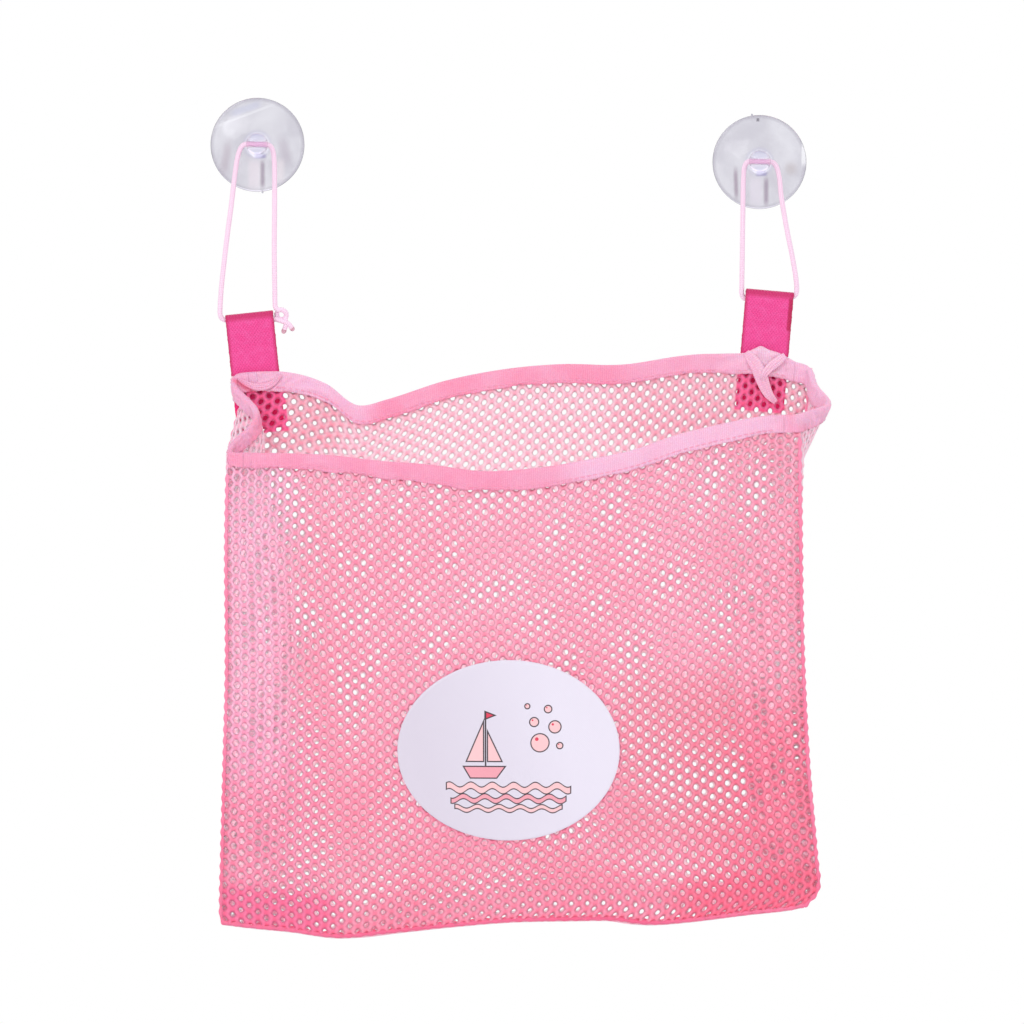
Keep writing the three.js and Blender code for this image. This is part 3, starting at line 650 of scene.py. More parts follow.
class Paint(Nodes):
    """A material's nodes. Each cloth has its flat places, in metres: flat, run and across."""

    def __init__(self, name, roughness, **sockets):
        self.material = bpy.data.materials.new(name)
        self.material.use_nodes = True
        super().__init__(self.material.node_tree)
        self.shader = self.tree.nodes["Principled BSDF"]
        self.set("Roughness", roughness)
        for socket, value in sockets.items():
            self.set(socket.replace("_", " "), value)

    def set(self, socket, value):
        self.feed(self.shader.inputs[socket], value)

    def spread(self):
        self.flat = self.node("UVMap", uv_map="flat")
        self.run, self.across, _ = self.split(self.flat)

    def grain(self, across, along, detail=3.0):
        """Noise with its own fineness each way on the cloth."""
        return self.noise(self.vector("MULTIPLY", self.flat, (across, along, 1)), 1.0, detail)

    def bump(self, height, distance, strength=1.0, below=None):
        inputs = {"Strength": strength, "Distance": distance, "Height": height}
        if below is not None:
            inputs["Normal"] = below
        made = self.node("Bump", inputs)
        self.set("Normal", made)
        return made

    def marked(self, tone, marks, origin=(0, 0)):
        """Soft marks on a tone, seen from the front: a tint, the mark's middle from origin, its half
        width and height, its turn, how far these fade and its share, in millimetres and degrees."""
        across, _, up = self.split(self.place())
        for tint, middle, half, turn, fade, share in marks:
            cos, sin = math.cos(math.radians(turn)), math.sin(math.radians(turn))
            x = self.math("SUBTRACT", across, (origin[0] + middle[0]) * MM)
            z = self.math("SUBTRACT", up, (origin[1] + middle[1]) * MM)
            inside = share
            for a, b, size, soft in ((cos, sin, half[0], fade[0]), (-sin, cos, half[1], fade[1])):
                away = self.math("MULTIPLY_ADD", x, a, self.math("MULTIPLY", z, b))
                away = self.math("ABSOLUTE", away)
                kept = self.ramp(away, size * MM, (size + soft) * MM, 1.0, 0.0, "SMOOTHSTEP")
                inside = self.math("MULTIPLY", kept, inside)
            tone = self.blend(inside, tone, colour(*tint))
        return tone


def net_material(name, upper, lower, size=None, marks=(), fall=FRONT_FALL):
    """Knitted yarn whose tone changes with height, as fall says: from where, to where and how far.
    size is the panel's, whose bars between the holes of a column are deeper."""
    paint = Paint(name, 0.62, Sheen_Weight=0.08, Sheen_Roughness=0.5, Subsurface_Weight=0.25,
                  Subsurface_Scale=0.002, Subsurface_Radius=(1.0, 0.4, 0.5))
    paint.spread()
    height = paint.split(paint.place())[2]
    broad = paint.noise(paint.place(), 16.0)
    # On the back and side yarns the paler tone lower down is painted light
    fallen = paint.ramp(height, fall[0], fall[1], 0.0, fall[2])
    share = paint.math("ADD", fallen, paint.ramp(broad, 0.3, 0.7, 0.0, 1 - fall[2]))
    tone = paint.marked(paint.blend(share, colour(*upper), colour(*lower)), marks)
    if size:
        columns, rows = cell_counts(*size)
        x = paint.math("MULTIPLY", paint.run, math.pi * columns / (size[0] * MM))
        z = paint.math("MULTIPLY", paint.across, TURN * rows / (size[1] * MM))
        bars = paint.math("MULTIPLY", paint.math("SINE", x), paint.math("COSINE", z))
        tone = paint.dyed(tone, (255, 186, 206), bars, 0.0, 0.9, 0.0, 0.6)
    fibre = paint.grain(4200, 1500)
    paint.set("Base Color", paint.dyed(tone, (255, 204, 218), fibre, 0.35, 0.7, 0.4, 0.0))
    paint.bump(fibre, 0.00025, 0.6)
    return paint.material


def tape_material(name, tone, marks=()):
    """Ribbed binding tape."""
    paint = Paint(name, 0.5, Sheen_Weight=0.3, Sheen_Roughness=0.4, Subsurface_Weight=0.2,
                  Subsurface_Scale=0.002)
    paint.spread()
    rib = paint.half(paint.signed(paint.run, 0.0011))
    grain = paint.grain(1800, 1300)
    broad = paint.noise(paint.place(), 60.0, 3.0)
    tone = paint.marked(colour(*tone), marks)
    tone = paint.tinted(tone, (252, 196, 222), broad, 0.42, 0.68, 0.0, 0.45)
    tone = paint.dyed(tone, (240, 196, 216), grain, 0.42, 0.68, 0.45, 0.0)
    tone = paint.dyed(tone, (240, 206, 222), rib, 0.0, 1.0, 0.0, 0.35)
    paint.set("Base Color", tone)
    paint.bump(grain, 0.0002, 0.6, paint.bump(rib, 0.00012, 0.6))
    return paint.material


def webbing_material():
    """Woven webbing, with flat places measured from the middle of its fold and of its width."""
    paint = Paint("webbing", 0.58, Sheen_Weight=0.3, Sheen_Roughness=0.35)
    paint.spread()
    bent = paint.math("MULTIPLY_ADD", paint.noise(paint.place(), 210.0), 0.0009, paint.run)
    weave = paint.math("MULTIPLY", paint.signed(bent, 0.0021), paint.signed(paint.across, 0.0016))
    weave = paint.half(weave)
    edge, fold = paint.math("ABSOLUTE", paint.across), paint.math("ABSOLUTE", paint.run)
    tone = paint.tinted(colour(238, 52, 140), (250, 86, 166), paint.grain(1900, 1900), 0.3, 0.7)
    tone = paint.tinted(tone, (248, 108, 182), paint.grain(260, 190), 0.45, 0.7, 0.0, 0.35)
    tone = paint.dyed(tone, (214, 120, 190), weave, 0.0, 0.6, 0.4, 0.0)
    tone = paint.tinted(tone, (196, 22, 88), edge, 0.0104, 0.0122, 0.0, 0.85)
    # Painted shade: darker crimson along the crest of the fold
    tone = paint.tinted(tone, (198, 20, 92), fold, 0.0035, 0.0055, 0.75, 0.0)
    # Painted shade: darker crimson on both legs from 38 to 44 mm along the run onwards, where the tab hangs
    # in the net's shade
    tone = paint.tinted(tone, (255, 24, 126), paint.run, 0.038, 0.044, 0.0, 0.9)
    paint.set("Base Color", paint.marked(tone, [TAB_SLIT_SHADE]))
    paint.bump(weave, 0.00035, 0.8)
    return paint.material


def thread_material(name, pale, deep):
    paint = Paint(name, 0.45, Sheen_Weight=0.2)
    paint.spread()
    twist = paint.signed(paint.math("MULTIPLY_ADD", paint.across, 0.35, paint.run), 0.0006)
    twist = paint.half(twist)
    paint.set("Base Color", paint.blend(twist, colour(*deep), colour(*pale)))
    paint.bump(twist, 0.00008, 0.7)
    return paint.material


def cord_material():
    paint = Paint("cord_braid", 0.5, Sheen_Weight=0.2)
    paint.spread()
    lean = paint.math("MULTIPLY", paint.across, 0.45)
    ways = [paint.signed(paint.math(way, paint.run, lean), 0.0018) for way in ("ADD", "SUBTRACT")]
    braid = paint.half(paint.math("MULTIPLY", *ways))
    paint.set("Base Color", paint.tinted(colour(244, 192, 228), (252, 224, 243), braid, 0.0, 0.6))
    paint.bump(braid, 0.0002, 0.7)
    return paint.material


def melted_material():
    paint = Paint("melted_cord", 0.35)
    spot = paint.noise(paint.place(), 900.0)
    paint.set("Base Color", paint.tinted(colour(196, 142, 160), (236, 190, 206), spot, 0.3, 0.7))
    paint.bump(spot, 0.0002, 0.5)
    return paint.material


def vinyl_material(name, side, marks):
    """Soft clear vinyl, a little cloudy, with painted shade at its rim and painted lavender refraction
    round the post. The cord in the post shows through it, and its pink is painted there."""
    paint = Paint(name, 0.09, IOR=1.25, Transmission_Weight=0.94, Coat_Weight=0.5,
                  Coat_Roughness=0.12, Coat_IOR=1.4)
    x, _, z = cup_centre(side)
    cloud = paint.noise(paint.place(), 60.0, 3.0)
    away = paint.vector("SUBTRACT", paint.place(), (x * MM, 0, z * MM))
    away = paint.vector("MULTIPLY", away, (1, 0, 1))
    radius = paint.vector("LENGTH", away, output=1)
    tone = paint.tinted(colour(213, 211, 221), (229, 228, 236), cloud, 0.35, 0.65)
    # Painted shade: greyer towards the rim, as refraction darkens clear vinyl's edge
    tone = paint.tinted(tone, (176, 172, 186), radius, 0.0218, 0.0238, 0.0, 0.6)
    # Painted refraction: lavender round the post
    tone = paint.tinted(tone, (184, 180, 228), radius, 0.003, 0.0085, 0.6, 0.0, "SMOOTHSTEP")
    paint.set("Base Color", paint.marked(tone, [*marks, CORD_IN_POST], (x, z)))
    above = paint.math("ABSOLUTE", paint.split(away)[2])
    cord = paint.ramp(above, 0.0011, 0.002, 0.3, 0.6, "SMOOTHSTEP")
    post = paint.ramp(radius, 0.005, 0.0068, 0.0, 1.0, "SMOOTHSTEP")
    paint.set("Alpha", paint.math("MAXIMUM", cord, post))
    paint.bump(paint.noise(paint.place(), 110.0), 0.0003, 0.25)
    return paint.material


class Picture(Paint):
    """Paint with shapes, as distances that are negative inside, in metres from its middle."""

    def circle(self, x, z, radius):
        dx, dz = self.math("SUBTRACT", self.run, x * MM), self.math("SUBTRACT", self.across, z * MM)
        square = self.math("MULTIPLY_ADD", dx, dx, self.math("MULTIPLY", dz, dz))
        return self.math("SUBTRACT", self.math("SQRT", square), radius * MM)

    def polygon(self, corners):
        """A convex shape with its corners anticlockwise."""
        worst = None
        for (ax, az), (bx, bz) in zip(corners, corners[1:] + corners[:1]):
            length = math.hypot(bx - ax, bz - az)
            nx, nz = (bz - az) / length, (ax - bx) / length
            part = self.math("MULTIPLY_ADD", self.across, nz, -(nx * ax + nz * az) * MM)
            side = self.math("MULTIPLY_ADD", self.run, nx, part)
            worst = side if worst is None else self.math("MAXIMUM", worst, side)
        return worst

    def band(self, height, swing, length, phase, half_width, width):
        """A level wavy band, cut off at half_width."""
        turned = self.math("MULTIPLY_ADD", self.run, TURN / (length * MM), phase)
        crest = self.math("MULTIPLY_ADD", self.math("SINE", turned), swing * MM, height * MM)
        line = self.math("ABSOLUTE", self.math("SUBTRACT", self.across, crest))
        ends = self.math("SUBTRACT", self.math("ABSOLUTE", self.run), half_width * MM)
        return self.math("SUBTRACT", self.math("MAXIMUM", line, ends), width / 2 * MM)

    def fill(self, shape, tint):
        self.tone = self.tinted(self.tone, tint, shape, INK_EDGE * MM, -INK_EDGE * MM)

    def drawn(self, shape, tint, width):
        """The shape in a tint, with an outline of that width."""
        self.fill(shape, tint)
        line = self.math("SUBTRACT", self.math("ABSOLUTE", shape), width / 2 * MM)
        self.fill(line, INK)


def label_material():
    """White satin with a generic design: waves, a small boat and bubbles."""
    paint = Picture("label_satin", 0.38, Sheen_Weight=0.3, Sheen_Roughness=0.3)
    paint.spread()
    weave = [paint.signed(way, 0.0009) for way in (paint.run, paint.across)]
    weave = paint.half(paint.math("MULTIPLY", *weave))
    lit = paint.math("MULTIPLY_ADD", paint.across, 0.25, paint.run)
    paint.tone = paint.tinted(colour(217, 209, 224), (231, 225, 240), lit, -0.045, 0.03)
    for band, half_width, tint, width in WAVES:
        paint.drawn(paint.band(*band, half_width, width), tint, 0.6)
    for corners, tint in BOAT:
        paint.drawn(paint.polygon(corners), tint, 0.65)
    paint.fill(paint.polygon(MAST), INK)
    for x, z, radius in BUBBLES:
        paint.drawn(paint.circle(x, z, radius), PALE_INK, 0.6)
        paint.fill(paint.circle(x - radius * 0.35, z + radius * 0.4, radius * 0.2), RED_INK)
    paint.set("Base Color", paint.tone)
    paint.bump(weave, 0.00006, 0.5)
    return paint.material


def cell_counts(width, height):
    """Columns and rows of the net's cells on a panel."""
    return round(width / CELL_PITCH), round(height / CELL_RISE)


def net_cells(width, height, opening):
    """Flat net of rounded holes between yarn: ridge points, hole points and their faces. Ridge
    points lie where cells meet, and faces number the ridge points first. opening gives the holes'
    size as a share of the usual one at each share across and up."""
    columns, rows = cell_counts(width, height)
    a, b = width / columns, height / rows
    reach = a / 2 + b * b / (8 * a)
    neck = a - reach
    corner = [(reach, 0), (neck, b / 2), (-neck, b / 2), (-reach, 0), (-neck, -b / 2), (neck, -b / 2)]
    ring = []
    for (ax, ay), (bx, by) in zip(corner, corner[1:] + corner[:1]):
        ring += [(ax, ay), ((ax + bx) / 2, (ay + by) / 2)]
    ring, turn = np.array(ring), np.radians(HOLE_TURNS)
    middles, holes, sides = [], [], []
    for i in range(-1, columns + 1):
        shift = 0.5 if i % 2 == 0 else 0.0
        for j in range(rows if shift else rows + 1):
            middle = ((i + 0.5) * a, (j + shift) * b)
            if i < 0 or i == columns:
                sides.append((middle, i < 0))
                continue
            middles.append(middle)
            low, high = middle[1] < b / 4, middle[1] > height - b / 4
            lift = 0.27 * b * (low - high)
            size = (0.8, 0.45) if low or high else (1, 1)
            holes.append((middle[0], middle[1] + lift, HOLE_HALF_WIDTH * size[0], HOLE_HALF_HEIGHT * size[1]))
    middles, holes = np.array(middles), np.array(holes)
    holes[:, 2:] *= opening(holes[:, 0] / width, holes[:, 1] / height)[:, None]
    scale = np.array([a / CELL_PITCH, b / CELL_RISE])
    bounds = ([0, 0], [width, height])
    ridge = np.clip(middles[:, None] + ring, *bounds)
    hole = np.stack([np.cos(turn), np.sin(turn)], -1)[None] * (holes[:, None, 2:] * scale)
    hole = hole + holes[:, None, :2]
    side_ring = [np.clip(np.array(m) + ring, *bounds)[[11, 0, 1] if left else [5, 6, 7]] for m, left in sides]
    every = np.concatenate([ridge.reshape(-1, 2), np.array(side_ring).reshape(-1, 2)])
    _, first, index = np.unique(np.round(every, 3), axis=0, return_index=True, return_inverse=True)
    index = index.ravel()
    ridge_points = every[first]
    cells = len(middles)
    at = index[: cells * 12].reshape(cells, 12)
    inner = len(ridge_points) + np.arange(cells * 12).reshape(cells, 12)
    next_at, next_inner = np.roll(at, -1, axis=1), np.roll(inner, -1, axis=1)
    quads = np.stack([at, next_at, next_inner, inner], -1).reshape(-1, 4)
    triangles = index[cells * 12 :].reshape(-1, 3)
    return ridge_points, hole.reshape(-1, 2), quads, triangles


def back_opening(u, v):
    """The back net is drawn together near both ends of the mouth, but not over the tabs."""
    drawn = 0.18 * np.interp(u, *np.transpose(BACK_DRAWN_SHARES)) * rising(v, 0.8, 0.86)
    return 0.82 - drawn - 0.06 * rising(v, 0.8, 0.7)


def front_opening(u, v):
    return 0.98 + 0 * u - 0.3 * rising(v, 0.1, 0.04)


def side_opening(s, v):
    return 0.78 - 0.35 * rising(v, 0.78, 0.88)


def base_opening(u, s):
    return 0.8 + 0 * u


def border_edges(quads, triangles):
    """Edges of the ridge that only one face has, in that face's direction."""
    edges = np.concatenate([quads[:, :2], *(triangles[:, [k, (k + 1) % 3]] for k in range(3))])
    _, index, uses = np.unique(np.sort(edges, axis=1), axis=0, return_inverse=True, return_counts=True)
    return edges[uses[index.ravel()] == 1]


def net_panel(name, surface, size, material, opening, lean=0.0, drift=0.0):
    """lean slants the columns of holes and drift bends the rows, both more in the panel's middle."""
    ridge, hole, quads, triangles = net_cells(*size, opening)

    def lifted(flat, lift):
        u, v = (flat / np.array(size)).T
        u = u + lean * 4 * u * (1 - u) * (v - 0.5 + 0.15 * np.sin(1.5 * TURN * v))
        v = v + drift * 4 * v * (1 - v) * np.sin(TURN * u)
        return surface(u, v) + normals_of(surface, u, v) * lift

    n, m = len(ridge), len(hole)
    layers = ((ridge, NET_THICKNESS / 2), (hole, 0), (ridge, -NET_THICKNESS / 2))
    points = np.concatenate([lifted(*layer) for layer in layers])

    def under(faces):
        return np.where(faces < n, faces + n + m, faces)[:, ::-1]

    rim = border_edges(quads, triangles)
    walls = np.stack([rim[:, 1], rim[:, 0], rim[:, 0] + n + m, rim[:, 1] + n + m], -1)
    every = (quads, triangles, under(quads), under(triangles), walls)
    faces = [face for group in every for face in group.tolist()]
    return mesh_piece(name, points, faces, material, np.concatenate([ridge, hole, ridge]))


def seam(name, surface_line, material):
    """A rolled, overcast seam along a line, with a bump for each stitch."""
    line = spaced(surface_line, SEAM_SPACING)
    bump = 0.5 + 0.5 * np.cos(TURN * run_of(line) / CELL_RISE)
    return joined_piece(name, [tube(line, SEAM_RADIUS + SEAM_BUMP * bump, 8)], material)


def tape_outline():
    """Tape folded over the net's edge: across it, and up from the net's edge."""
    face, slot = TAPE_SLOT + TAPE_THICKNESS, TAPE_SLOT
    rows = np.linspace(-TAPE_WIDTH, -0.6, TAPE_FACE_ROWS)
    outer = [(-face, z) for z in rows]
    turns = np.radians([150, 120, 90, 60, 30])
    outer += [(face * math.cos(t), -0.6 + (TAPE_TOP + 0.6) * math.sin(t)) for t in turns]
    outer += [(face, z) for z in rows[::-1]]
    inner = [(slot, -TAPE_WIDTH), (slot, -5), (slot, -0.4), (0, 0.3)]
    inner += [(-x, z) for x, z in inner[2::-1]]
    return np.array(outer + inner)


def rim_frames(surface, a):
    """Places along a surface's top edge, with the directions across the sheet and up it."""
    top = surface(a, 1 + 0 * a)
    up = unit(top - surface(a, 0.93 + 0 * a))
    sideways = surface(a + SHARE_STEP, 1 + 0 * a) - surface(a - SHARE_STEP, 1 + 0 * a)
    return top, unit(np.cross(sideways, up)), up


def side_frames(side):
    """The same round a side of the mouth, with both of its corners and a lap on each rim."""
    lap = np.linspace(0.045, 0.006, 18)
    lap = mix(lap, 1 - lap, side)
    between = np.linspace(0.07, 0.93, 60)
    parts = [(back_point, lap), (gusset_net(side), between), (front_point, lap[::-1])]
    line = np.concatenate([np.concatenate(rim_frames(f, a)[::2], axis=1) for f, a in parts])
    line = spaced(line, 0.8)
    padded = np.pad(line, ((4, 4), (0, 0)), "edge")
    soft = np.stack([np.convolve(column, np.ones(9) / 9, "valid") for column in padded.T], 1)
    ends = np.clip(np.minimum(np.arange(len(line)), np.arange(len(line))[::-1]) / 5, 0, 1)[:, None]
    line = mix(line, soft, ends)
    place, up = line[:, :3], unit(line[:, 3:])
    return place, unit(np.cross(np.gradient(place, axis=0), up)), up


def tape(name, frames, seed, material, widths, wrinkles, lifts=NO_LIFTS, tuck=1):
    """A tape through frames. tuck narrows it where its ends lie in the walls of other tapes."""
    place, across, up = frames
    outline = tape_outline()
    run = run_of(place)
    share = run / run[-1]
    calm = np.clip(np.minimum(run, run[-1] - run) / TAPE_CALM - (tuck < 1), 0, 1)
    draw = np.random.default_rng(seed)
    wobble = calm * np.convolve(draw.normal(0, 1, len(run) + 8), np.ones(9) / 9, "valid")
    pucker = calm * np.cos(TURN * run / STITCH_PITCH)
    low = np.clip(-outline[None, :, 1] / TAPE_WIDTH, 0, 1)
    crease = calm[:, None] * along(wrinkles, share)[:, None]
    sway = waves(share[:, None] * 3, low * 0.5, seed, 5)
    fold = crease * np.sin(TURN * (1.6 * low + sway)) * np.sign(outline[None, :, 0])
    fold = fold * (np.abs(outline[None, :, 0]) > TAPE_SLOT + 0.1)
    scale = mix(tuck, 1, calm)[:, None] + 0.06 * pucker[:, None] * (low > 0.4)
    x = outline[None, :, 0] * scale + fold
    y = outline[None, :, 1] * np.where(outline[None, :, 1] < 0, along(widths, share)[:, None], 1)
    y = y - low * (0.8 * wobble[:, None] + 0.15 * pucker[:, None]) + along(lifts, share)[:, None] * (1 - low)
    points = place[:, None] + across[:, None] * x[..., None] + up[:, None] * y[..., None]
    faces = [f[::-1] for f in capped_faces(len(run), len(outline))]
    lap = run_of(np.pad(outline, ((0, 0), (0, 1))))
    return mesh_piece(name, points, faces, material, stacked(run[:, None], lap))


def stitch(place, ahead, up, length=STITCH_LENGTH):
    """One thread stitch that dips at both ends."""
    t = np.linspace(-0.5, 0.5, 7)[:, None]
    line = place + ahead * t * length + up * STITCH_RADIUS * (0.75 - 5.2 * t * t)
    return tube(line, STITCH_RADIUS * (1 - t[:, 0] ** 2), sides=6)


def row_of_stitches(name, surface, material, widths):
    """Stitches along the tape, on its face away from the wall."""
    a = np.linspace(*STITCH_ENDS, STITCH_PLACES)
    place, across, up = rim_frames(surface, a)
    drop = STITCH_DROP * along(widths, a)
    line = place - up * drop[:, None] + across * (TAPE_SLOT + TAPE_THICKNESS)
    run = run_of(line)
    parts = []
    for at in np.arange(STITCH_PITCH / 2, run[-1] - STITCH_PITCH / 2, STITCH_PITCH):
        k = int(np.searchsorted(run, at))
        ahead = unit(line[min(k + 1, len(line) - 1)] - line[max(k - 1, 0)])
        parts.append(stitch(line[k], ahead, across[k]))
    return joined_piece(name, parts, material)


def tape_fold(points):
    """A soft creased ribbon that lies over the rim, as wide as its points say."""
    line = smooth_line(points, 0.6)
    place, half = line[:, None, :3], line[:, None, 3]
    ahead = unit(np.gradient(line[:, :3], axis=0))
    across = unit(np.cross(ahead, [0, -1, 0]))[:, None]
    s = np.linspace(-1, 1, 15)[None]
    share = np.linspace(0, 1, len(line))[:, None]
    crown = 0.42 * np.sqrt(1 - 0.92 * s * s) * np.clip(9 * np.minimum(share, 1 - share) + 0.25, 0, 1)
    top = crown + 0.26 * np.sin(TURN * (1.6 * s + 0.6 * share)) * (1 - s * s)
    lift = np.concatenate([top, np.broadcast_to(-0.35 - 0.2 * (1 - s * s), top.shape)[:, ::-1]], 1)
    x = np.concatenate([half * s, half * s[:, ::-1]], 1)
    points = place + across * x[..., None] - np.array([0, 1, 0]) * lift[..., None]
    faces = capped_faces(len(line), x.shape[1])
    flat = stacked(run_of(line)[:, None], x).reshape(-1, 2)
    return points.reshape(-1, 3), faces, flat[np.concatenate([np.array(f) for f in faces])]


def cup_centre(side):
    sign = 1 if side else -1
    return np.array([sign * CUP_SPACING / 2, 0, -sign * CUP_STAGGER / 2])


HOLE_LINE = unit(cup_centre(1) - cup_centre(0))
FOLDS = [np.array([FOLD_X[k], -TAB_DEPTH, -FOLD_DROP[k]]) for k in (0, 1)]
FOLD_LINE = unit(FOLDS[1] - FOLDS[0])


def swept_shares(table, count):
    """Points of a smooth curve through pairs of shares."""
    t = np.linspace(0, 1, len(table))
    columns = [along(np.stack([t, np.array(table)[:, c]], 1), np.linspace(0, 1, count)) for c in (0, 1)]
    return np.stack(columns, 1)


def cup_profile():
    """Radius and distance from the wall, from the middle of the cavity round to the head's top."""
    share = np.arange(1, 13) / 12
    cavity = np.stack([SEAL_INNER_RADIUS * share, SEAL_CAVITY * (1 - share ** 2)], 1)
    rim = [(CUP_RADIUS - 0.4, 0), (CUP_RADIUS, 0.35), (CUP_RADIUS, CUP_EDGE - 0.3)]
    dome = swept_shares([(1, 0)] + DOME_SHARES, 23)[1:]
    dome = np.stack([CUP_RADIUS * dome[:, 0], mix(CUP_EDGE, DOME_HEIGHT, dome[:, 1])], 1)
    neck = (DOME_HEIGHT + HEAD_START) / 2
    post = [(POST_RADIUS, mix(DOME_HEIGHT, neck, 0.5)), (POST_RADIUS, neck), (POST_RADIUS, HEAD_START - 0.3)]
    head = swept_shares([(0.86, 0)] + HEAD_SHARES + [(0.2, 1)], 18)
    head = np.stack([HEAD_RADIUS * head[:, 0], HEAD_START + HEAD_HEIGHT * np.minimum(head[:, 1], 1)], 1)
    return np.concatenate([cavity, rim, dome, post, head])


def cup(name, side, material):
    """A clear cup turned about the wall's normal, with a hole across its post and a moulding gate."""
    profile = cup_profile()
    x, z = (profile[:, :1] * part for part in circle(CUP_SIDES))
    points = stacked(x, -profile[:, 1:], z).reshape(-1, 3)
    points = np.concatenate([points, [[0, -SEAL_CAVITY, 0], [0, -HEAD_START - HEAD_HEIGHT, 0]]])
    middle = cup_centre(side)
    faces = pointed_faces(len(profile), CUP_SIDES)
    piece = mesh_piece(name, points + middle, faces, material)
    bore_line = HOLE_LINE * np.array([[-BORE_HALF_LENGTH], [BORE_HALF_LENGTH]])
    bore_line = middle + np.array([0, -CORD_DEPTH, 0]) + bore_line
    bore_radius = CORD_DIAMETER / 2 + CORD_CLEARANCE
    bore = mesh_piece("bore", *tube(bore_line, bore_radius, 28, False)[:2], material)
    gate_turn = math.radians(GATE_TURNS[side])
    out = np.array([math.cos(gate_turn), 0, math.sin(gate_turn)])
    gate_line = middle + out * np.array([[CUP_RADIUS - GATE_ROOT], [CUP_RADIUS + GATE_REACH]])
    gate = mesh_piece("gate", *tube(gate_line - [0, GATE_LIFT, 0], GATE_RADIUS, 12)[:2], material)
    for tool, operation in ((bore, "DIFFERENCE"), (gate, "UNION")):
        cut = piece.modifiers.new("cut", "BOOLEAN")
        cut.operation, cut.object, cut.solver = operation, tool, "EXACT"
        settle(piece)
        bpy.data.objects.remove(tool)
    piece.data.polygons.foreach_set("use_smooth", [True] * len(piece.data.polygons))
    edge = piece.modifiers.new("edges", "EDGE_SPLIT")
    edge.split_angle = math.radians(CREASE_ANGLE)
    settle(piece)
    return piece


def settle(piece):
    """Puts the shape that the modifiers give into the mesh."""
    bpy.context.view_layer.update()
    made = bpy.data.meshes.new_from_object(piece.evaluated_get(bpy.context.evaluated_depsgraph_get()))
    piece.modifiers.clear()
    piece.data = made


def loop_points(places):
    """Places on a cord loop, which leans back from the hole's line to the fold's line: X and Z, or
    with how far out of the loop's plane between them."""
    out = []
    for x, *lift, z in places:
        side = int(x > 0)
        top, low = cup_centre(side) - [0, CORD_DEPTH, 0], FOLDS[side]
        top_z = top[2] + (x - top[0]) * HOLE_LINE[2] / HOLE_LINE[0]
        low_z = low[2] + (x - low[0]) * FOLD_LINE[2] / FOLD_LINE[0]
        out.append((x, mix(low[1], top[1], (z - low_z) / (top_z - low_z)) + sum(lift), z))
    return np.array(out)


def tab_frame(side):
    """Turns places on a tab, with its top at z = 0, into places in the frame."""
    turn = math.radians(TAB_TURN[side])
    cos, sin = math.cos(turn), math.sin(turn)
    rest = -WEBBING_WIDTH / 2 if turn > math.asin(FOLD_LINE[2]) else WEBBING_WIDTH / 2
    lift = CORD_DIAMETER / 2 + FOLD_SEAT_GAP + WEBBING_THICKNESS
    origin = FOLDS[side] + FOLD_LINE * rest + np.array([-sin, 0, cos]) * lift

    def place(points):
        points = np.asarray(points, float)
        x, z = points[..., 0] - rest, points[..., 2]
        return stacked(x * cos - z * sin, points[..., 1], x * sin + z * cos) + origin

    return place


def tab(name, side, material):
    """Webbing folded over the cord: its section is swept up, over the cord and back down."""
    half, outer = WEBBING_THICKNESS / 2, EYE_RADIUS + WEBBING_THICKNESS
    radius = EYE_RADIUS + half
    path = [(half, z) for z in np.linspace(-TAB_LENGTH, -EYE_LENGTH - outer, 26)]
    for t in np.linspace(0.06, 1, 12):
        path.append((mix(half, radius, t * t * (3 - 2 * t)), -EYE_LENGTH - outer + t * EYE_LENGTH))
    rising = len(path)
    path += [(radius * math.cos(t), -outer + radius * math.sin(t)) for t in np.linspace(0, math.pi, 20)[1:-1]]
    path = np.array(path + [(-y, z) for y, z in path[:rising][::-1]])
    ahead = unit(np.gradient(path, axis=0))
    across = np.stack([-ahead[:, 1], ahead[:, 0]], 1)
    run = run_of(np.pad(path, ((0, 0), (0, 1))))
    xs = np.linspace(-WEBBING_WIDTH / 2 + 0.3, WEBBING_WIDTH / 2 - 0.3, 15)
    thick, edge = half - 0.06, WEBBING_WIDTH / 2
    section = [(x, thick) for x in xs] + [(edge, 0.25), (edge, -0.25)]
    section = np.array(section + [(x, -thick) for x in xs[::-1]] + [(-edge, -0.25), (-edge, 0.25)])
    yz = path[:, None] + across[:, None] * section[None, :, 1:]
    rough = 0.12 * np.sin(run * 1.9) + 0.1 * np.sin(run * 0.83)
    x = section[None, :, 0] + (np.abs(section[None, :, 0]) > 12) * rough[:, None]
    points = tab_frame(side)(stacked(x, yz[..., 0], yz[..., 1]))
    faces = capped_faces(len(path), len(section))
    flat = stacked(run[:, None] - run[-1] / 2, section[:, 0])
    return mesh_piece(name, points, faces, material, flat)


def tab_stitches(name, side, material):
    """A box with a cross of stitches on the tab's wall side."""
    w, h = STITCH_BOX[0] / 2, STITCH_BOX[1]
    low = STITCH_INSET - TAB_LENGTH
    corners = [(-w, low), (w, low), (w, low + h), (-w, low + h)]
    lines = [*zip(corners, corners[1:] + corners[:1]), corners[::2], corners[1::2]]
    place, parts = tab_frame(side), []
    for start, end in lines:
        start, end = np.array(start), np.array(end)
        length = np.linalg.norm(end - start)
        step = (end - start) / length
        count = round(length / STITCH_PITCH)
        for k in range(count):
            x, z = start + (end - start) * (k + 0.5) / count
            here = place([x, WEBBING_THICKNESS, z])
            there = place([x + step[0], WEBBING_THICKNESS, z + step[1]])
            parts.append(stitch(here, unit(there - here), np.array([0, 1, 0]), length / count * STITCH_COVER))
    return joined_piece(name, parts, material)


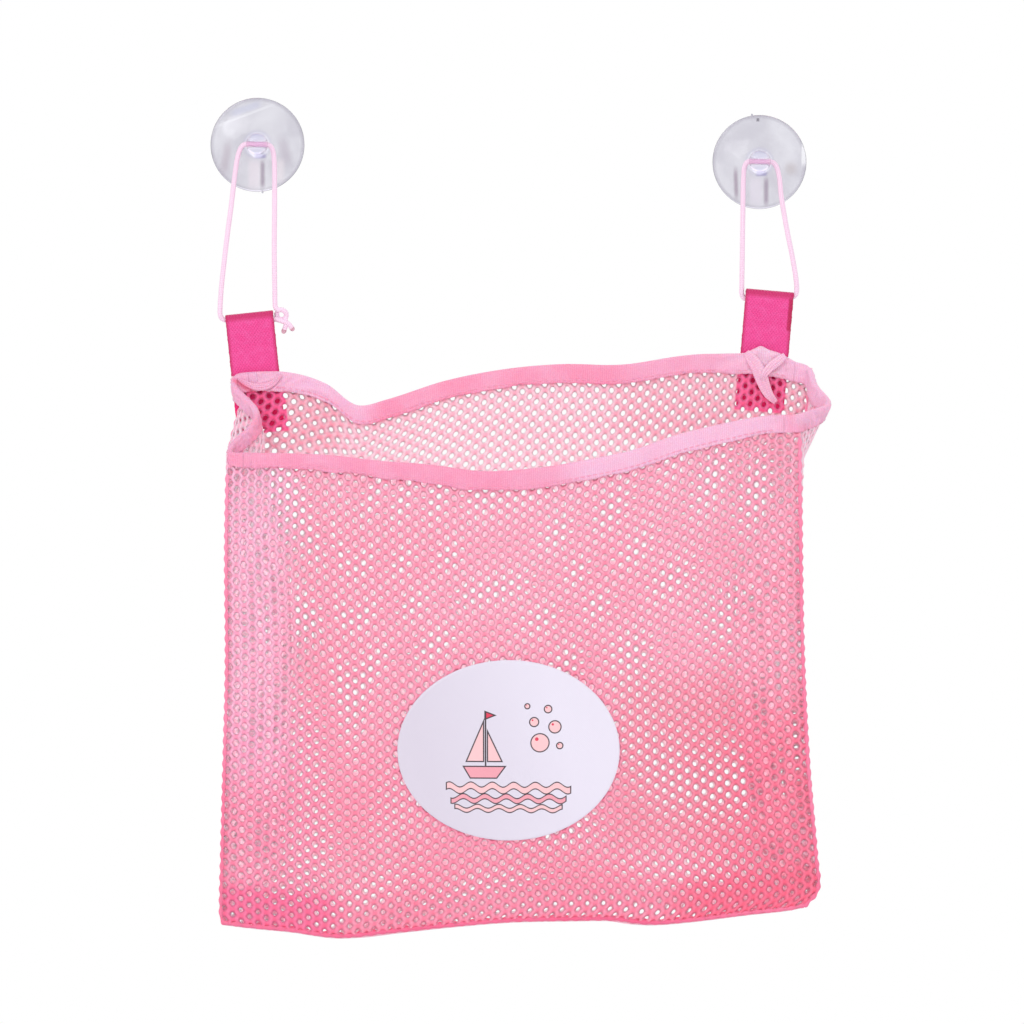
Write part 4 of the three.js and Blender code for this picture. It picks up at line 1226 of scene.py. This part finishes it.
def front_shares(x, z):
    """Shares of the front panel at a place seen from the front."""
    u = v = 0.5 + 0 * x
    for _ in range(12):
        left = across_bag(0, v, LEFT_FRONT_EDGE_SHARES, RIGHT_FRONT_EDGE_SHARES)
        u = (x - left) / (across_bag(1, v, LEFT_FRONT_EDGE_SHARES, RIGHT_FRONT_EDGE_SHARES) - left)
        low = bottom_z(u)
        v = (z - low) / (rim_z(u, FRONT_RIM_DIP, FRONT_RIM_SHARES) - low)
    return u, v


def label(name, material):
    """An oval patch with a soft rounded edge."""
    rings, sides = 30, 120
    share = np.linspace(0, 1, rings + 1)[1:]
    edge = [(0.996, 0.42), (1, 0.15), (1, -0.3)]
    profile = [(s, 0.5) for s in share[:-1]] + edge + [(s, -0.5) for s in share[:-1][::-1]]
    out, lift = np.array(profile).T
    x, z = (half * out[:, None] * part for half, part in zip(LABEL_HALF, circle(sides)))

    def lifted(x, z, lift):
        u, v = front_shares(x, z - LABEL_DROP)
        height = LABEL_LIFT + LABEL_THICKNESS * lift
        return (front_point(u, v) + normals_of(front_point, u, v) * height).reshape(-1, 3)

    ends = [lifted(np.zeros(1), np.zeros(1), k) for k in (0.5, -0.5)]
    points = np.concatenate([lifted(x, z, lift[:, None, None]), *ends])
    faces = [f[::-1] for f in pointed_faces(len(profile), sides)]
    flat = np.concatenate([stacked(x, z).reshape(-1, 2), np.zeros((2, 2))])
    return mesh_piece(name, points, faces, material, flat)


def aim_camera():
    data = bpy.data.cameras.new("camera")
    data.sensor_width = SENSOR_WIDTH
    data.lens = SENSOR_WIDTH * CAMERA_DISTANCE / PICTURE_WIDTH
    camera = bpy.data.objects.new("camera", data)
    camera.location = Vector((PICTURE_MIDDLE[0], PICTURE_PLANE - CAMERA_DISTANCE, PICTURE_MIDDLE[1])) * MM
    camera.rotation_euler = (math.radians(90), 0, 0)
    bpy.context.scene.collection.objects.link(camera)
    bpy.context.scene.camera = camera


def lamp(name, place, size, power, turn=None):
    """A lamp that faces the bag, in metres and watts. One with a turn has a width and a height, and
    the camera doesn't see it."""
    data = bpy.data.lights.new(name, "AREA")
    data.energy = power
    light = bpy.data.objects.new(name, data)
    light.location = place
    if turn:
        data.shape, data.size, data.size_y = "RECTANGLE", *size
        light.rotation_euler = turn
        light.visible_camera = False
    else:
        data.size = size
        light.rotation_euler = (Vector(LIT_PLACE) - Vector(place)).to_track_quat("-Z", "Y").to_euler()
    bpy.context.scene.collection.objects.link(light)


def light_world(level):
    """Even light of that level, and white where the camera or clear and glossy surfaces see it."""
    world = bpy.data.worlds.new("world")
    bpy.context.scene.world = world
    world.use_nodes = True
    nodes = Nodes(world.node_tree)
    camera_ray = nodes.node("LightPath")
    rays = camera_ray.node.outputs
    seen = nodes.math("MAXIMUM", camera_ray, rays["Is Glossy Ray"])
    seen = nodes.math("MAXIMUM", seen, rays["Is Transmission Ray"])
    ahead = nodes.math("ABSOLUTE", nodes.split(nodes.node("TexCoord"))[1])
    shown = nodes.math("MAXIMUM", nodes.ramp(ahead, 0.35, 0.95, 0.45, 1.0), camera_ray)
    even = nodes.node("Background", {0: (1, 1, 1, 1), 1: level})
    pale = nodes.node("Background", {0: shown, 1: 1.0})
    both = nodes.node("MixShader", {0: seen, 1: even, 2: pale})
    nodes.feed(world.node_tree.nodes["World Output"].inputs[0], both)


def lay_floor(height, radius):
    """A round pale floor whose rim fades into the white background where the camera sees it."""
    paint = Paint("floor", 0.8)
    paint.set("Base Color", colour(240, 240, 242))
    fade = paint.ramp(paint.vector("LENGTH", paint.place(), output=1), radius * 0.45, radius * 0.95)
    white = paint.node("Emission", {"Color": (1, 1, 1, 1), "Strength": 1.0})
    share = paint.math("MULTIPLY", fade, paint.node("LightPath"))
    both = paint.node("MixShader", {0: share, 1: paint.shader.outputs[0], 2: white})
    paint.feed(paint.tree.nodes["Material Output"].inputs[0], both)
    cos, sin = circle(FLOOR_SIDES)
    points = stacked(radius * cos, radius * sin, 0) / MM
    floor = mesh_piece("floor", points, [list(range(FLOOR_SIDES))], paint.material)
    floor.location = (0, 0, height)


def dress(piece, body, slot, *nodes):
    """The piece rides on a body, or crosses from the bag to its front, and stands for CAD nodes."""
    if body == "both":
        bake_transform(piece)
    else:
        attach(piece, body)
    if nodes:
        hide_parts(*nodes)
    return piece


aim_camera()
light_world(WORLD_LEVEL)
for settings in LAMPS:
    lamp(*settings)
lay_floor(FLOOR_HEIGHT, FLOOR_RADIUS)

front_yarn = net_material("front_yarn", (255, 189, 210), (255, 156, 182), FRONT_SIZE, FRONT_MARKS)
# The back, side and base yarns are paler copies of the pink net: painted light that offsets the shade inside
# the bag
back_yarn_painted_light = net_material("back_yarn_painted_light", (255, 222, 231), (255, 244, 248), BACK_SIZE, BACK_MARKS,
                         BACK_PAINTED_LIGHT_FALL)
side_yarn_painted_light = net_material("side_yarn_painted_light", (255, 218, 234), (255, 240, 248), GUSSET_SIZE, SIDE_PAINTED_SHADE,
                         SIDE_PAINTED_LIGHT_FALL)
base_yarn_painted_light = net_material("base_yarn_painted_light", (255, 216, 228), (255, 216, 228), BASE_SIZE)
seam_yarn = net_material("seam_yarn", (255, 160, 194), (244, 104, 146))
ribbon = tape_material("tape", (255, 166, 197), TAPE_MARKS)
webbing, braid, melted, satin = webbing_material(), cord_material(), melted_material(), label_material()
pale_thread = thread_material("tape_thread", (255, 180, 208), (248, 152, 188))
deep_thread = thread_material("tab_thread", (236, 70, 146), (196, 34, 104))

left_line = smooth_line(loop_points([*FOLD_TAIL, *LEFT_ROUTE, *KNOT_RING]), 0.8)
right_line = smooth_line(loop_points(RIGHT_ROUTE), 0.9)
tail_line = smooth_line(loop_points(KNOT_TAIL), 0.7)
ends = [(left_line[0], left_line[2]), (tail_line[-1], tail_line[-3])]
ends = [np.array([end, end + unit(end - before) * TIP_LENGTH]) for end, before in ends]
tips = [tube(line, TIP_RADIUS, 14) for line in ends]
for name, parts, material, body, *nodes in (
    ("cord_left", [tube(left_line, CORD_RADIUS)], braid, "left_loop", "cord_loop_left"),
    ("cord_right", [tube(right_line, CORD_RADIUS)], braid, "right_loop", "cord_loop_right"),
    ("knot_tail", [tube(tail_line, CORD_RADIUS - 0.1)], braid, "left_loop"),
    ("knot_tips", tips, melted, "left_loop"),
):
    dress(joined_piece(name, parts, material), body, "pale_cord", *nodes)

for side, word in enumerate(("left", "right")):
    vinyl = vinyl_material(word + "_vinyl", side, VINYL_REFLECTIONS_AND_MARKS[side])
    dress(cup("cup_" + word, side, vinyl), "wall_cups", "clear_vinyl", "suction_cup_" + word)
    dress(tab("tab_" + word, side, webbing), "bag", "fuchsia_webbing", "webbing_tab_" + word)
    box = tab_stitches("tab_stitches_" + word, side, deep_thread)
    dress(box, "bag", "fuchsia_thread", "tab_stitching_" + word)
    gusset = net_panel("net_gusset_" + word, gusset_net(side), GUSSET_SIZE, side_yarn_painted_light, side_opening)
    dress(gusset, "both", "pink_net", "gusset_" + word)
    binding = tape("tape_" + word, side_frames(side), TAPE_SEEDS[word], ribbon,
                   SIDE_TAPE_WIDTHS[side], SIDE_TAPE_WRINKLES, tuck=TAPE_TUCK)
    dress(binding, "both", "pink_tape", "side_binding_" + word)

back_net = net_panel("net_back", back_point, BACK_SIZE, back_yarn_painted_light, back_opening, BACK_LEAN, BACK_DRIFT)
front_net = net_panel("net_front", front_point, FRONT_SIZE, front_yarn, front_opening, FRONT_LEAN,
                      FRONT_DRIFT)
base_net = net_panel("net_base", base_point, BASE_SIZE, base_yarn_painted_light, base_opening)
dress(back_net, "bag", "pink_net", "back_panel")
dress(front_net, "bag_front", "pink_net", "front_panel")
dress(base_net, "bag", "pink_net", "base_panel")

rows = np.linspace(SEAM_BOTTOM_INSET, SEAM_TOP, SEAM_PLACES)
columns = np.linspace(SEAM_BOTTOM_INSET, 1 - SEAM_BOTTOM_INSET, SEAM_PLACES)
for word, *shares in (
    ("left", SEAM_SIDE_INSET, rows),
    ("right", 1 - SEAM_SIDE_INSET, rows),
    ("bottom", columns, SEAM_BOTTOM_INSET),
):
    dress(seam("seam_back_" + word, back_point(*shares), seam_yarn), "bag", "pink_net")
    dress(seam("seam_front_" + word, front_point(*shares), seam_yarn), "bag_front", "pink_net")

spread = np.linspace(*TAPE_ENDS, TAPE_PLACES)
back_tape = tape("tape_back", rim_frames(back_point, spread), TAPE_SEEDS["back"], ribbon,
                 BACK_TAPE_WIDTHS, BACK_TAPE_WRINKLES, BACK_TAPE_LIFTS)
front_tape = tape("tape_front", rim_frames(front_point, spread), TAPE_SEEDS["front"], ribbon,
                  FRONT_TAPE_WIDTHS, FRONT_TAPE_WRINKLES)
folds = joined_piece("tape_folds", [tape_fold(f) for f in TAPE_FOLDS], ribbon)
back_row = row_of_stitches("stitches_back", back_point, pale_thread, BACK_TAPE_WIDTHS)
front_row = row_of_stitches("stitches_front", front_point, pale_thread, FRONT_TAPE_WIDTHS)
oval = label("label_oval", satin)
dress(back_tape, "bag", "pink_tape", "back_binding")
dress(front_tape, "bag_front", "pink_tape", "front_binding")
dress(folds, "bag", "pink_tape")
dress(back_row, "bag", "pink_thread", "back_binding_stitching")
dress(front_row, "bag_front", "pink_thread", "front_binding_stitching")
dress(oval, "bag_front", "white_satin", "label_patch")

bpy.context.scene.view_settings.view_transform = "Standard"
